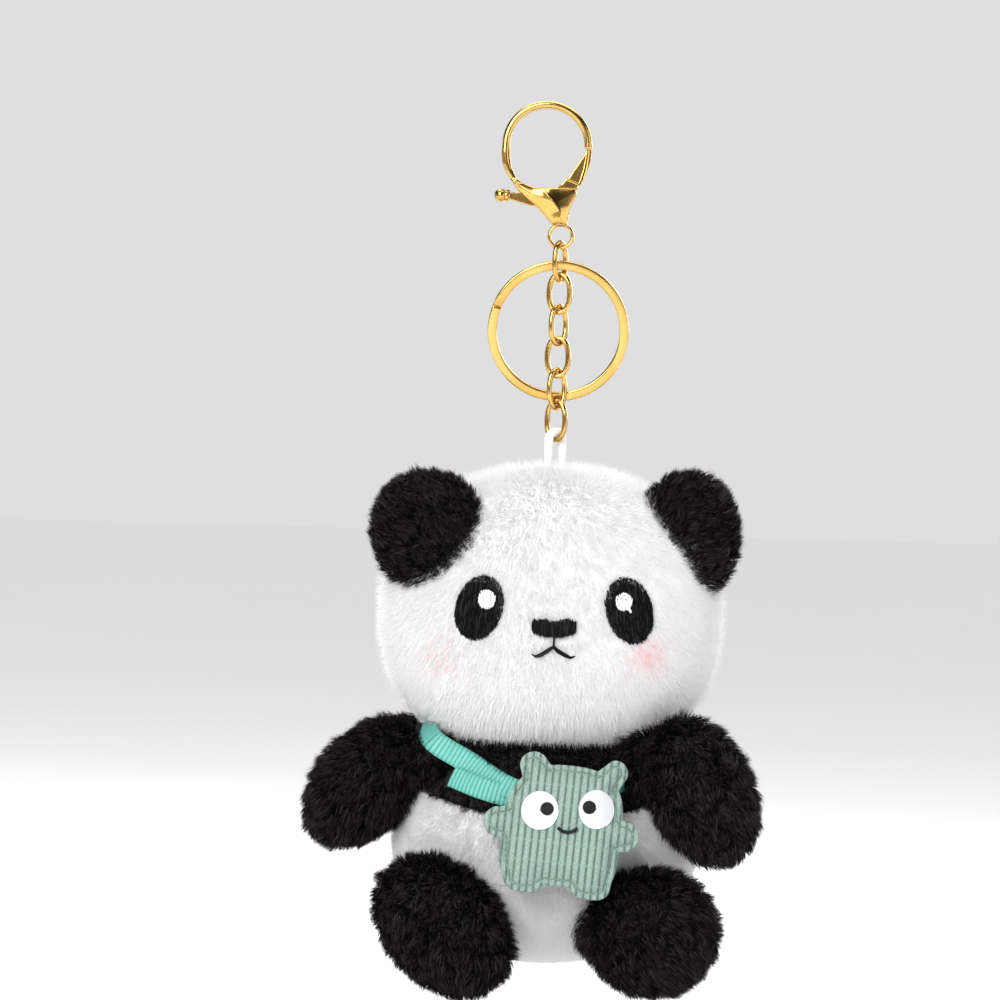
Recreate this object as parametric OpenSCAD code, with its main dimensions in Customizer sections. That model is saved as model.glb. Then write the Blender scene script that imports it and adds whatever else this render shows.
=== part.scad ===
// Plush panda keychain: a lobster-claw clasp, a short chain with a split ring,
// and a seated plush bear that hangs from the chain by a cord loop.
// Origin: the inside top of the clasp's hook, where it hangs. +Z up, front faces -Y.

/* [Clasp] */
// Outer radius of the hook's round loop
hook_outer_r = 9.5; // [9:0.1:10]
// Radial width of the hook's band
hook_band = 1.6; // [1.4:0.1:1.8]
// Depth of the hook's band, front to back
hook_depth = 3.2; // [3:0.1:3.6]
// Depth of the clasp's body, front to back
body_depth = 4.4; // [4.2:0.1:5]
// Radius of the rivet that the lever turns on
rivet_r = 0.8; // [0.7:0.05:0.9]
// Mean radius of the fixed eye under the clasp
eye_mean_r = 2.45; // [2.4:0.05:2.6]
// Wire radius of the fixed eye
eye_wire_r = 0.4; // [0.35:0.05:0.45]

/* [Chain and ring] */
// Wire diameter of a chain link
link_wire = 1.15; // [1.05:0.05:1.2]
// Length of a link between its end wires' centres
link_length = 8; // [7.8:0.1:8.4]
// Width of a link between its side wires' centres
link_width = 4.35; // [4.2:0.05:4.6]
// Gap left between two wires that hang on each other
hang_gap = 0.12; // [0.08:0.01:0.15]
// Outer diameter of the split ring
ring_od = 30; // [28:1:32]
// Radial width of the split ring's wire
ring_band = 2; // [1.8:0.1:2]
// Thickness of one coil of the split ring
coil_t = 0.82; // [0.7:0.02:0.85]
// How far the split ring leans back at rest, in degrees
ring_lean = 10; // [9:1:12]

/* [Cord] */
// Diameter of the cord loop on the head
cord_d = 2; // [1.8:0.1:2]
// Radius of the cord loop's bend, to the cord's centre
cord_bend_r = 1.9; // [1.85:0.05:2.1]
// Height of the cord's knot above the head's centre
knot_z = 20; // [18:1:22]

/* [Plush] */
// Half the head's width
head_a = 34; // [33:0.5:35]
// Half the head's depth
head_b = 25; // [24:0.5:26]
// Half the head's height
head_c = 28.8; // [28:0.2:29]
// Half the torso's width
torso_a = 29.5; // [29:0.5:30]
// Half the torso's depth
torso_b = 21.5; // [21:0.5:22]
// Half the torso's height
torso_c = 25.5; // [25:0.5:26]
// Thickness of the plush cloth, backing and stitched seam
cloth_t = 1; // [0.8:0.1:1.2]

/* [Pouch] */
// Thickness of one cloth wall of the little pouch
pouch_wall = 0.8; // [0.6:0.1:1]
// Thickness of the padding between the pouch's walls
pouch_pad = 2; // [1.6:0.1:2.4]
// How far the pouch's lower edge leans forward, in degrees
pouch_lean = 12; // [11:1:14]

/* [Hidden] */
$fn = 128;
links = 6;

gold = "goldenrod";
black_plush = [0.1, 0.09, 0.09];
white_plush = "whitesmoke";
mint = [0.6, 0.8, 0.72];
eps = 0.01;
far = 200;

// Clasp: x and z of the lever's rivet, and the arc on which the gate meets the hook
hook_inner_r = hook_outer_r - hook_band;
pivot = [3.5, -18.5];
gate_reach = 11.2;
gate_gap = 0.1;
slot_back = 1.3;
lever_front = 1.2;
lever_back = 0.4;
hub_r = 2.4;
body_back = body_depth / 2;
spring_wire = 0.34;
spring_leg_r = 0.13;
spring_y = 0.64;
spring_r = 1.35;

// Chain: everything below the clasp hangs on the line x = axis_x, y = 0
axis_x = 3.4;
eye_z = -26.9;
wire_r = link_wire / 2;
eye_bottom_z = eye_z - eye_mean_r;
first_top_z = eye_bottom_z + eye_wire_r + wire_r + hang_gap;
pitch = link_length - link_wire - hang_gap;
function link_top(i) = first_top_z - (i - 1) * pitch;
function link_bottom(i) = link_top(i) - link_length;
link_yaw = [62, -15, 55, -12, 52, -34];

// Split ring: hangs inside the first link, over the second link's top wire
ring_mean_r = (ring_od - ring_band) / 2;
ring_lift = 0.4;
ring_wire_z = link_top(2) + wire_r + ring_lift + ring_band / 2;
split_from = 149;
split_to = 170;

// Cord loop, over the last link's bottom wire
cord_r = cord_d / 2;
cord_yaw = 42;
cord_bend_z = link_bottom(links) + wire_r + hang_gap + cord_r - cord_bend_r;

// Head, neck and torso
head_at = [axis_x, 0, -105.7];
neck_at = [axis_x, 1, -137];
neck_r = 9;
torso_at = [axis_x, 1, -154];
belly_top_z = -146.6;
joint_gap = 0.35;
knot_top_z = head_at[2] + knot_z;
knot_r = 2.6;
stitch_t = 0.45;
highlight_t = 0.75;

// Limbs: [root ball's centre, its radius, pad's centre, pad's half axes, pad's turn]
arm_left = [[-22.6, -2, -138], 8, [-34.6, -5.5, -142.4], [15.5, 9.4, 9.2], 133];
arm_right = [[25.4, -10, -138], 7.5, [35.2, -18.6, -142.6], [14.8, 9, 9.4], 65];
leg_left = [[-14.6, -9, -169], 8.5, [-18.4, -21.6, -171.4], [14.8, 9.5, 9.5], 48];
leg_right = [[18.4, -11, -169.5], 8.5, [26, -22.3, -172.2], [12.4, 9.5, 12], 0];

// Ears: [centre, half axes, turn about Z]
ear_left_at = [[-25.7, -5, -89.3], [11.5, 6.5, 10.8], 12];
ear_right_at = [[31.9, -3.5, -88.7], [8.5, 7, 11.6], -14];
ear_gap = 1.1;

// Face, as x and z from the head's centre
eye_left_xz = [-15.1, 0.5];
eye_right_xz = [15.8, 0.7];
nose_xz = [0.4, -3.3];
mouth_xz = [-0.1, -6.4];

// Ribbon: height of its middle behind, how far it dips in front, its width, and its
// inner and outer face over the torso's cloth
ribbon_z = -136.8;
ribbon_dip = 5.6;
ribbon_w = 4.5;
ribbon_low = 0.4;
ribbon_high = 0.85;

// Pouch: the top of its back wall, where the ribbon holds it
pouch_top = [6.3, -21, -137.2];
pouch_turn = -5;
pouch_drop = 12.6;
pouch_total = 2 * pouch_wall + pouch_pad;

// ---------- helpers ----------

module flat(depth) {
    rotate([90, 0, 0]) linear_extrude(depth, center = true) children();
}

module flat_between(front, back) {
    translate([0, back, 0]) rotate([90, 0, 0]) linear_extrude(back + front) children();
}

module ellipsoid(at, half) {
    translate(at) scale(half) sphere(r = 1);
}

module ball(at, r) {
    translate(at) sphere(r = r);
}

module front_half() {
    translate([-far, -far, -far]) cube([2 * far, far, 2 * far]);
}

module below(z) {
    translate([-far, -far, z - far]) cube([2 * far, 2 * far, far]);
}

// ---------- clasp ----------

module hook_outline() {
    difference() {
        translate([0, -hook_inner_r]) circle(hook_outer_r);
        translate([0, -hook_inner_r]) circle(hook_inner_r);
        translate([-far, -far - hook_inner_r]) square([far, far]);
        translate([0, -far - 9.5]) square([far, far]);
        translate(pivot) circle(gate_reach + gate_gap);
    }
    polygon([[-9.5, -7.9], [-9.6, -9.5], [-9.4, -11.6], [-8.65, -13.5], [-7.4, -15.4],
             [-5.8, -17.4], [-4.6, -16.6], [-5, -15.9], [-6.3, -14.9], [-7.4, -12.7],
             [-7.8, -10.3], [-7.9, -7.9]]);
}

module cheek_outline() {
    polygon([[-7.2, -15.6], [-5.8, -17.5], [-3.8, -19.3], [-1.6, -21], [0.2, -22.9],
             [1.5, -24.5], [4.7, -24.5], [4.9, -22.4], [5.4, -20.4], [6.5, -17.9],
             [6.2, -16.9], [-2.5, -16.8], [-5, -15.9], [-6.3, -14.9]]);
}

// The space that the lever sweeps between the two cheeks
module lever_slot_outline() {
    polygon([[-12, -17.1], [-1.4, -17.1], [-0.4, -14], [12, -14], [12, -21.4],
             [3.5, -21.5], [1.3, -22.7], [-3, -26], [-12, -28]]);
}

module clasp_body() {
    color(gold) difference() {
        union() {
            flat(hook_depth) hook_outline();
            flat(body_depth) cheek_outline();
            translate([axis_x, 0, eye_z])
                rotate([90, 0, 0])
                    rotate_extrude() translate([eye_mean_r, 0]) circle(eye_wire_r);
        }
        flat(2 * slot_back) lever_slot_outline();
        translate([pivot[0], body_back + eps, pivot[1]])
            rotate([90, 0, 0]) cylinder(h = body_depth - 0.6, r = rivet_r);
    }
}

// The gate outside the cheeks, and the thinner tongue that joins it to the hub
module gate_outline() {
    intersection() {
        polygon([[9.7, -7.9], [9.35, -11.2], [8.2, -14.4], [7.2, -16], [4.6, -14.9],
                 [5.6, -12.7], [6.9, -9.2], [7.2, -6.9]]);
        translate(pivot) circle(gate_reach);
    }
}

module tongue_outline() {
    polygon([[5.3, -14.2], [7.5, -15.1], [6.8, -16.6], [5.4, -18.6], [2.6, -18.6],
             [2.6, -16.8], [4.2, -14.9]]);
    polygon([[3.5, -17.4], [-0.8, -18.2], [-8.1, -17.9], [-8.1, -19.3],
             [-3.1, -20.7], [3.5, -20.6]]);
}

// A round collar and a ball on the end of the lever's thumb arm
module thumb_tab() {
    collar_r = 1.25;
    collar_t = 0.8;
    ball_r = 1.05;
    ball_out = 1.65;
    translate([-7.9, -0.4, -18.6]) rotate([0, -90, 0]) rotate_extrude() {
        square([collar_r, collar_t]);
        intersection() {
            translate([0, ball_out]) circle(ball_r);
            translate([0, collar_t / 2]) square([2 * ball_r, 4 * ball_r]);
        }
    }
}

module clasp_lever() {
    color(gold) difference() {
        union() {
            flat(hook_depth) gate_outline();
            flat_between(lever_front, lever_back) {
                tongue_outline();
                translate(pivot) circle(hub_r);
            }
            thumb_tab();
        }
        translate([pivot[0], 0, pivot[1]])
            rotate([90, 0, 0]) cylinder(h = 10, r = rivet_r + 0.05, center = true);
    }
}

module clasp_rivet() {
    color("darkgoldenrod") translate([pivot[0], body_back, pivot[1]])
        rotate([90, 0, 0]) {
            cylinder(h = body_depth - 0.6, r = rivet_r);
            translate([0, 0, -0.35]) cylinder(h = 0.35, r = 1.5);
        }
}

module clasp_spring() {
    color("silver") translate([pivot[0], 0, pivot[1]]) {
        for (turn = [0, 1])
            translate([0, spring_y + turn * 0.3, 0]) rotate([90, 0, 0])
                rotate_extrude() translate([spring_r, 0]) circle(spring_wire / 2);
        translate([spring_r, spring_y + 0.3, 0]) cylinder(h = 1.9, r = spring_leg_r);
        translate([-spring_r, spring_y, 0])
            rotate([0, 180, 0]) cylinder(h = 1.9, r = spring_leg_r);
    }
}

// ---------- chain, ring and cord ----------

module chain_link(i) {
    side = link_length - link_width;
    bend_r = link_width / 2;
    color(gold) translate([axis_x, 0, link_top(i) - link_length / 2])
        rotate([0, 0, link_yaw[i - 1]]) rotate([90, 0, 0]) {
            for (end = [0, 180])
                rotate([0, 0, end]) translate([0, side / 2, 0]) {
                    rotate_extrude(angle = 180) translate([bend_r, 0]) circle(wire_r);
                    translate([bend_r, 0, 0])
                        rotate([90, 0, 0]) cylinder(h = side, r = wire_r);
                }
        }
}

module coil_section() {
    chamfer = 0.22;
    a = ring_band / 2;
    b = coil_t / 2;
    polygon([[-a, chamfer - b], [chamfer - a, -b], [a - chamfer, -b], [a, chamfer - b],
             [a, b - chamfer], [a - chamfer, b], [chamfer - a, b], [-a, b - chamfer]]);
}

module split_ring() {
    sweep = 360 - (split_to - split_from);
    step = coil_t / 2 + 0.02;
    color(gold) translate([axis_x, 0, ring_wire_z])
        rotate([ring_lean, 0, 0]) translate([0, 0, -ring_mean_r]) rotate([90, 0, 0]) {
            // front coil, back coil, and the stretch where the wire crosses over
            translate([0, 0, step]) rotate([0, 0, split_to])
                rotate_extrude(angle = sweep) translate([ring_mean_r, 0]) coil_section();
            translate([0, 0, -step]) rotate([0, 0, split_from])
                rotate_extrude(angle = -sweep) translate([ring_mean_r, 0]) coil_section();
            rotate([0, 0, split_from - 1])
                rotate_extrude(angle = split_to - split_from + 2)
                    translate([ring_mean_r, 0]) coil_section();
        }
}

module hanging_cord() {
    drop = cord_bend_z - knot_top_z;
    color("white") translate([axis_x, 0, cord_bend_z])
        rotate([0, 0, cord_yaw]) {
            rotate([90, 0, 0]) rotate_extrude(angle = 180)
                translate([cord_bend_r, 0]) circle(cord_r);
            for (side = [-1, 1])
                translate([side * cord_bend_r, 0, -drop]) cylinder(h = drop, r = cord_r);
        }
}

module cord_knot() {
    color("white") intersection() {
        union() {
            ellipsoid([axis_x, 0, knot_top_z - 1.6], [3.2, knot_r, 2.4]);
            ellipsoid([axis_x + 1, 0.4, knot_top_z - 3.6], [2.4, 2.8, 2.2]);
        }
        below(knot_top_z);
    }
}

// ---------- head ----------

module head_shape(grow) {
    ellipsoid(head_at, [head_a + grow, head_b + grow, head_c + grow]);
}

// The neck's round stub turns inside this socket in the head
module neck_socket(grow) {
    ball(neck_at, neck_r + joint_gap + grow);
}

module cord_hole() {
    translate([axis_x, 0, knot_top_z - 6.4]) cylinder(h = 30, r = 4);
}

module head_cover() {
    difference() {
        head_shape(0);
        head_shape(-cloth_t);
        neck_socket(0);
        cord_hole();
    }
}

module head_front_cover() {
    color(white_plush) intersection() {
        head_cover();
        front_half();
    }
}

module head_back_cover() {
    color(white_plush) difference() {
        head_cover();
        front_half();
    }
}

module head_filling() {
    color("ivory") difference() {
        head_shape(-cloth_t - 0.1);
        neck_socket(0.3);
        cord_hole();
    }
}

module ear(e) {
    color(black_plush) difference() {
        translate(e[0]) rotate([0, 0, e[2]]) scale(e[1]) sphere(r = 1);
        head_shape(ear_gap);
    }
}

module ear_left() {
    ear(ear_left_at);
}

module ear_right() {
    ear(ear_right_at);
}

// A thin stitched layer on the face, between two heights over the cloth
module stitched(xz, low, high) {
    intersection() {
        difference() {
            head_shape(high);
            head_shape(low);
        }
        translate([head_at[0] + xz[0], head_at[1], head_at[2] + xz[1]])
            rotate([90, 0, 0]) linear_extrude(2 * head_b) children();
    }
}

module oval(width, height, tilt) {
    rotate(tilt) scale([width / 2, height / 2]) circle(1);
}

module eye_left() {
    color("black") stitched(eye_left_xz, 0.03, stitch_t) oval(9.8, 13.8, -17);
}

module eye_right() {
    color("black") stitched(eye_right_xz, 0.03, stitch_t) oval(9.8, 14.2, 18);
}

module eye_highlight_left() {
    color("white") stitched(eye_left_xz + [1.7, 1.9], stitch_t + 0.02, highlight_t)
        oval(3.3, 3.7, 0);
}

module eye_highlight_right() {
    color("white") stitched(eye_right_xz + [-1, 2], stitch_t + 0.02, highlight_t)
        oval(3.2, 3.5, 0);
}

module nose() {
    color("black") stitched(nose_xz, 0.03, highlight_t) hull() {
        for (x = [-3.2, 3.2]) translate([x, 0.5]) circle(1.1, $fn = 32);
        for (x = [-1.8, 1.8]) translate([x, -0.7]) circle(0.9, $fn = 32);
    }
}

module mouth() {
    stroke = 0.7;
    stem = 1.5;
    branch = 5.2;
    droop = 26;
    color("black") stitched(mouth_xz, 0.03, stitch_t) {
        translate([0, 0.4]) square([stroke, stem], center = true);
        for (side = [-1, 1]) rotate(-side * droop)
            translate([side * (branch / 2 - 0.1), 0])
                square([branch, stroke], center = true);
    }
}

// ---------- torso ----------

module limb_balls(grow) {
    for (limb = [arm_left, arm_right, leg_left, leg_right])
        ball(limb[0], limb[1] + joint_gap + grow);
}

module torso_ellipsoid(grow) {
    ellipsoid(torso_at, [torso_a + grow, torso_b + grow, torso_c + grow]);
}

// grow is negative for the inside of the cloth
module torso_shape(grow) {
    difference() {
        torso_ellipsoid(grow);
        head_shape(2.2 - grow);
    }
    ball(neck_at, neck_r + grow);
}

module torso_cover() {
    difference() {
        torso_shape(0);
        torso_shape(-cloth_t);
        limb_balls(0);
    }
}

module chest_cover() {
    color(black_plush) difference() {
        intersection() {
            torso_cover();
            front_half();
        }
        below(belly_top_z);
    }
}

module belly_cover() {
    color(white_plush) intersection() {
        torso_cover();
        front_half();
        below(belly_top_z);
    }
}

module upper_back_cover() {
    color(black_plush) difference() {
        torso_cover();
        front_half();
        below(belly_top_z);
    }
}

module lower_back_cover() {
    color(white_plush) intersection() {
        difference() {
            torso_cover();
            front_half();
        }
        below(belly_top_z);
    }
}

module torso_filling() {
    color("ivory") difference() {
        torso_shape(-cloth_t - 0.1);
        limb_balls(0.3);
    }
}

// ---------- limbs ----------

module limb_shape(limb, grow) {
    ball(limb[0], limb[1] + grow);
    translate(limb[2]) rotate([0, limb[4], 0])
        ellipsoid([0, 0, 0], limb[3] + [grow, grow, grow]);
}

module limb_cover(limb) {
    color(black_plush) difference() {
        limb_shape(limb, 0);
        limb_shape(limb, -cloth_t);
    }
}

module limb_filling(limb) {
    color("ivory") limb_shape(limb, -cloth_t - 0.1);
}

module arm_left_cover() {
    limb_cover(arm_left);
}

module arm_right_cover() {
    limb_cover(arm_right);
}

module leg_left_cover() {
    limb_cover(leg_left);
}

module leg_right_cover() {
    limb_cover(leg_right);
}

module arm_left_filling() {
    limb_filling(arm_left);
}

module arm_right_filling() {
    limb_filling(arm_right);
}

module leg_left_filling() {
    limb_filling(leg_left);
}

module leg_right_filling() {
    limb_filling(leg_right);
}

// ---------- ribbon and pouch ----------

// A point of the band: t is its direction round the torso's axis, w its height over the
// band's middle, and g how far it is over the torso's cloth
function band_z(t, w) = ribbon_z - ribbon_dip * pow(max(0, -sin(t)), 1.5) + w;
function band_point(t, w, g) =
    let (z = band_z(t, w),
         h = (z - torso_at[2]) / (torso_c + g),
         r = sqrt(1 - h * h) / norm([cos(t) / (torso_a + g), sin(t) / (torso_b + g)]))
    [torso_at[0] + r * cos(t), torso_at[1] + r * sin(t), z];

// A band round the neck, low in front where the pouch hangs and high behind
module neck_ribbon() {
    steps = 72;
    half = ribbon_w / 2;
    ribbon_clear = 1.6;
    corners = [[-half, ribbon_low], [-half, ribbon_high], [half, ribbon_high],
               [half, ribbon_low]];
    points = [for (i = [0:steps - 1]) for (c = corners)
        band_point(360 * i / steps, c[0], c[1])];
    faces = [for (i = [0:steps - 1]) for (j = [0:3])
        let (i2 = (i + 1) % steps, j2 = (j + 1) % 4)
        each [[4 * i + j, 4 * i2 + j2, 4 * i + j2], [4 * i + j, 4 * i2 + j, 4 * i2 + j2]]];
    color("mediumturquoise") difference() {
        polyhedron(points, faces);
        ball(arm_left[0], arm_left[1] + ribbon_clear);
        ball(arm_right[0], arm_right[1] + ribbon_clear);
    }
}

module pouch_body_outline(grow) {
    hull() {
        for (side = [-1, 1]) {
            translate([side * 8.2, 8.6]) circle(3.4 + grow, $fn = 32);
            translate([side * 9.6, -9.8]) circle(4 + grow, $fn = 32);
        }
    }
}

module pouch_outline(grow) {
    pouch_body_outline(grow);
    for (side = [-1, 1]) {
        // ear, arm and leg
        translate([side * 9, 11.6]) circle(3.4 + grow, $fn = 32);
        translate([side * 13.4, -1.2]) circle(2.7 + grow, $fn = 32);
        translate([side * 6.9, -12.2]) circle(2.5 + grow, $fn = 32);
    }
}

// A flat layer of the pouch, between two heights over its back wall
module pouch_layer(low, high) {
    translate(pouch_top) rotate([-pouch_lean, 0, 0]) translate([0, 0, -pouch_drop])
        rotate([90, 0, 0]) translate([0, 0, low])
            linear_extrude(high - low) rotate(pouch_turn) children();
}

module pouch_back() {
    color(mint) pouch_layer(0, pouch_wall) pouch_outline(0);
}

module pouch_padding() {
    color("ivory") pouch_layer(pouch_wall, pouch_wall + pouch_pad)
        pouch_body_outline(-1.7);
}

module pouch_front() {
    // the front wall meets the back wall in a sewn edge round the padding
    color(mint) {
        pouch_layer(pouch_wall + pouch_pad, pouch_total) pouch_outline(-0.8);
        pouch_layer(pouch_wall, pouch_wall + pouch_pad) difference() {
            pouch_outline(-0.8);
            pouch_body_outline(-1.6);
        }
    }
}

module pouch_eyes() {
    color("white") for (side = [-1, 1])
        pouch_layer(pouch_total, pouch_total + 0.25)
            translate([side * 5.8, 3.4]) circle(4);
}

module pouch_pupils() {
    color("black") for (side = [-1, 1])
        pouch_layer(pouch_total + 0.25, pouch_total + 0.45)
            translate([side * 4.4, 3.9]) circle(1.4);
}

module pouch_smile() {
    color("black") pouch_layer(pouch_total, pouch_total + 0.2)
        translate([0, 0.6]) difference() {
            circle(2.2);
            circle(1.7);
            translate([-3, -1]) square([6, 4]);
        }
}

// ---------- assembly ----------

clasp_body();
clasp_lever();
clasp_rivet();
clasp_spring();
split_ring();
for (i = [1:links])
    chain_link(i);
hanging_cord();
cord_knot();
head_front_cover();
head_back_cover();
head_filling();
ear_left();
ear_right();
eye_left();
eye_right();
eye_highlight_left();
eye_highlight_right();
nose();
mouth();
chest_cover();
belly_cover();
upper_back_cover();
lower_back_cover();
torso_filling();
arm_left_cover();
arm_left_filling();
arm_right_cover();
arm_right_filling();
leg_left_cover();
leg_left_filling();
leg_right_cover();
leg_right_filling();
neck_ribbon();
pouch_front();
pouch_back();
pouch_padding();
pouch_eyes();
pouch_pupils();
pouch_smile();
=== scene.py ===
import math
import bpy
import numpy as np
from mathutils import Matrix, Vector


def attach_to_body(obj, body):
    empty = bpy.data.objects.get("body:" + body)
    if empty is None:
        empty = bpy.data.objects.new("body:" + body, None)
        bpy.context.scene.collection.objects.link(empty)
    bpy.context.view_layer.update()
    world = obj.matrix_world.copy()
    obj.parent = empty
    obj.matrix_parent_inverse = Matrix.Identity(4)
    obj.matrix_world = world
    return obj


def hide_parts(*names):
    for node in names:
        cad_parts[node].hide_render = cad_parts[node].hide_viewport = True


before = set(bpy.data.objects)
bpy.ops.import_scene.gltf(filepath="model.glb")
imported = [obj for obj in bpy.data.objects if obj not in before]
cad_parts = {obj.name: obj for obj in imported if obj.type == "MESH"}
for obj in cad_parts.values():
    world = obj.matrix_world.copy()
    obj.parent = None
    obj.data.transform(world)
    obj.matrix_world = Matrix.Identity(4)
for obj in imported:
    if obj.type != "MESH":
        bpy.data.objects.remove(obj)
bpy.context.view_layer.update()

# Lengths are in millimetres, and meshes are scaled to metres when they are made. The
# floor, the lights and the camera are placed in metres.
MM = 0.001
rng = np.random.default_rng(7)

AXIS_X = 3.4
HEAD = np.array([AXIS_X, 0.0, -105.7])
TORSO = np.array([AXIS_X, 1.0, -154.0])
TORSO_HALF = np.array([31.3, 21.2, 25.2])
RIB_PITCH, ROW_PITCH = 1.52, 4.1


# ---------- materials ----------

def new_material(name):
    """A new material, its node tree and its shader."""
    mat = bpy.data.materials.new(name)
    mat.use_nodes = True
    tree = mat.node_tree
    return mat, tree, tree.nodes["Principled BSDF"]


def plain(name, color, rough=0.8, sheen=0.0, specular=0.5):
    """A plain finish with no pattern, for strands that are too thin to show one."""
    mat, _, bsdf = new_material(name)
    bsdf.inputs["Base Color"].default_value = (*color, 1)
    bsdf.inputs["Roughness"].default_value = rough
    bsdf.inputs["Specular IOR Level"].default_value = specular
    bsdf.inputs["Sheen Weight"].default_value = sheen
    return mat


def noise(tree, place, scale, detail):
    """A noise node's value at a place on the surface."""
    node = tree.nodes.new("ShaderNodeTexNoise")
    node.inputs["Scale"].default_value = scale
    node.inputs["Detail"].default_value = detail
    tree.links.new(place, node.inputs["Vector"])
    return node.outputs["Fac"]


def two_tone(tree, source, low, high, start, end):
    """A colour that runs from low to high as source goes from start to end."""
    ramp = tree.nodes.new("ShaderNodeValToRGB")
    for element, place, color in zip(ramp.color_ramp.elements, (start, end), (low, high)):
        element.position = place
        element.color = (*color, 1)
    tree.links.new(source, ramp.inputs["Fac"])
    return ramp.outputs["Color"]


def embossed(tree, bsdf, height, strength, distance):
    """Turns a height into relief."""
    relief = tree.nodes.new("ShaderNodeBump")
    relief.inputs["Strength"].default_value = strength
    relief.inputs["Distance"].default_value = distance
    tree.links.new(height, relief.inputs["Height"])
    tree.links.new(relief.outputs["Normal"], bsdf.inputs["Normal"])


def textured(name, low, high, scale, rough, bump, bump_scale, sheen=0.0, metallic=0.0,
             rough_spread=0.1):
    """Tone drift, uneven roughness and a fine bump, all from noise in the object's space."""
    mat, tree, bsdf = new_material(name)
    place = tree.nodes.new("ShaderNodeTexCoord").outputs["Object"]
    drift = noise(tree, place, scale, 3)
    tree.links.new(two_tone(tree, drift, low, high, 0.3, 0.7), bsdf.inputs["Base Color"])
    spread = tree.nodes.new("ShaderNodeMapRange")
    spread.inputs["To Min"].default_value = rough - rough_spread
    spread.inputs["To Max"].default_value = rough + rough_spread
    tree.links.new(drift, spread.inputs["Value"])
    tree.links.new(spread.outputs["Result"], bsdf.inputs["Roughness"])
    embossed(tree, bsdf, noise(tree, place, bump_scale, 4), bump, 0.0001)
    bsdf.inputs["Sheen Weight"].default_value = sheen
    bsdf.inputs["Metallic"].default_value = metallic
    return mat


def shifted(tree, source, kind, value, other=None):
    """One arithmetic step on a node output."""
    step = tree.nodes.new("ShaderNodeMath")
    step.operation = kind
    tree.links.new(source, step.inputs[0])
    if other is None:
        step.inputs[1].default_value = value
    else:
        tree.links.new(other, step.inputs[1])
    return step.outputs[0]


def ribbed(name, low, high, pitch, rough, depth):
    """Cloth with cords woven across it, laid out in its UV map (mm)."""
    mat, tree, bsdf = new_material(name)
    uv = tree.nodes.new("ShaderNodeUVMap")
    split = tree.nodes.new("ShaderNodeSeparateXYZ")
    tree.links.new(uv.outputs["UV"], split.inputs["Vector"])
    cords = shifted(tree, split.outputs["X"], "MULTIPLY", math.pi / pitch)
    cords = shifted(tree, cords, "SINE", 0)
    cords = shifted(tree, cords, "ABSOLUTE", 0)
    mixed = shifted(tree, noise(tree, uv.outputs["UV"], 3, 5), "MULTIPLY", 0.4)
    mixed = shifted(tree, mixed, "ADD", 0, cords)
    tree.links.new(two_tone(tree, mixed, low, high, 0.3, 0.95), bsdf.inputs["Base Color"])
    embossed(tree, bsdf, mixed, 0.7, depth)
    bsdf.inputs["Roughness"].default_value = rough
    bsdf.inputs["Sheen Weight"].default_value = 0.2
    return mat


def knitted(name, low, high, dark):
    """Rib knit: rounded ribs up the cloth with a broken dark line between each two, and painted
    shade on each rib, lighter at its crest and darker down its sides.
    """
    mat, tree, bsdf = new_material(name)
    uv = tree.nodes.new("ShaderNodeUVMap")
    split = tree.nodes.new("ShaderNodeSeparateXYZ")
    tree.links.new(uv.outputs["UV"], split.inputs["Vector"])
    column = shifted(tree, split.outputs["X"], "DIVIDE", RIB_PITCH)
    column = shifted(tree, column, "PINGPONG", 0.5)
    groove = tree.nodes.new("ShaderNodeMapRange")
    groove.inputs["From Min"].default_value = 0.2
    groove.inputs["From Max"].default_value = 0.04
    tree.links.new(column, groove.inputs["Value"])
    row = shifted(tree, split.outputs["Y"], "DIVIDE", ROW_PITCH)
    row = shifted(tree, row, "PINGPONG", 0.5)
    dash = tree.nodes.new("ShaderNodeMapRange")
    dash.inputs["From Min"].default_value = 0.05
    dash.inputs["From Max"].default_value = 0.1
    dash.inputs["To Min"].default_value = 0.4
    tree.links.new(row, dash.inputs["Value"])
    line = shifted(tree, groove.outputs["Result"], "MULTIPLY", 0, dash.outputs["Result"])
    grain = noise(tree, uv.outputs["UV"], 2.4, 6)
    loops_u = shifted(tree, split.outputs["X"], "MULTIPLY", 2 * math.pi * 3 / RIB_PITCH)
    loops_u = shifted(tree, loops_u, "SINE", 0)
    loops_v = shifted(tree, split.outputs["Y"], "MULTIPLY", 2 * math.pi / 0.8)
    loops_v = shifted(tree, loops_v, "SINE", 0)
    loops = shifted(tree, loops_u, "MULTIPLY", 0, loops_v)
    loops = shifted(tree, loops, "MULTIPLY", 0.5)
    rounded = shifted(tree, column, "MULTIPLY", 2)
    rounded = shifted(tree, rounded, "POWER", 0.6)
    # painted shade: each rib is lighter at its crest and darker down its sides
    painted_rib_shade = shifted(tree, rounded, "MULTIPLY", 0.4)
    painted_rib_shade = shifted(tree, painted_rib_shade, "SUBTRACT", 0.28)
    tone = shifted(tree, loops, "MULTIPLY", 0.35)
    tone = shifted(tree, tone, "ADD", 0, grain)
    tone = shifted(tree, tone, "ADD", 0, painted_rib_shade)
    mix = tree.nodes.new("ShaderNodeMix")
    mix.data_type = "RGBA"
    tree.links.new(line, mix.inputs["Factor"])
    tree.links.new(two_tone(tree, tone, low, high, 0.32, 0.66), mix.inputs["A"])
    mix.inputs["B"].default_value = (*dark, 1)
    tree.links.new(mix.outputs["Result"], bsdf.inputs["Base Color"])
    high_part = shifted(tree, grain, "ADD", 0, loops)
    high_part = shifted(tree, high_part, "ADD", 0, rounded)
    high_part = shifted(tree, high_part, "SUBTRACT", 0, line)
    embossed(tree, bsdf, high_part, 0.7, 0.0004)
    bsdf.inputs["Roughness"].default_value = 0.9
    bsdf.inputs["Sheen Weight"].default_value = 0.2
    return mat


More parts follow.
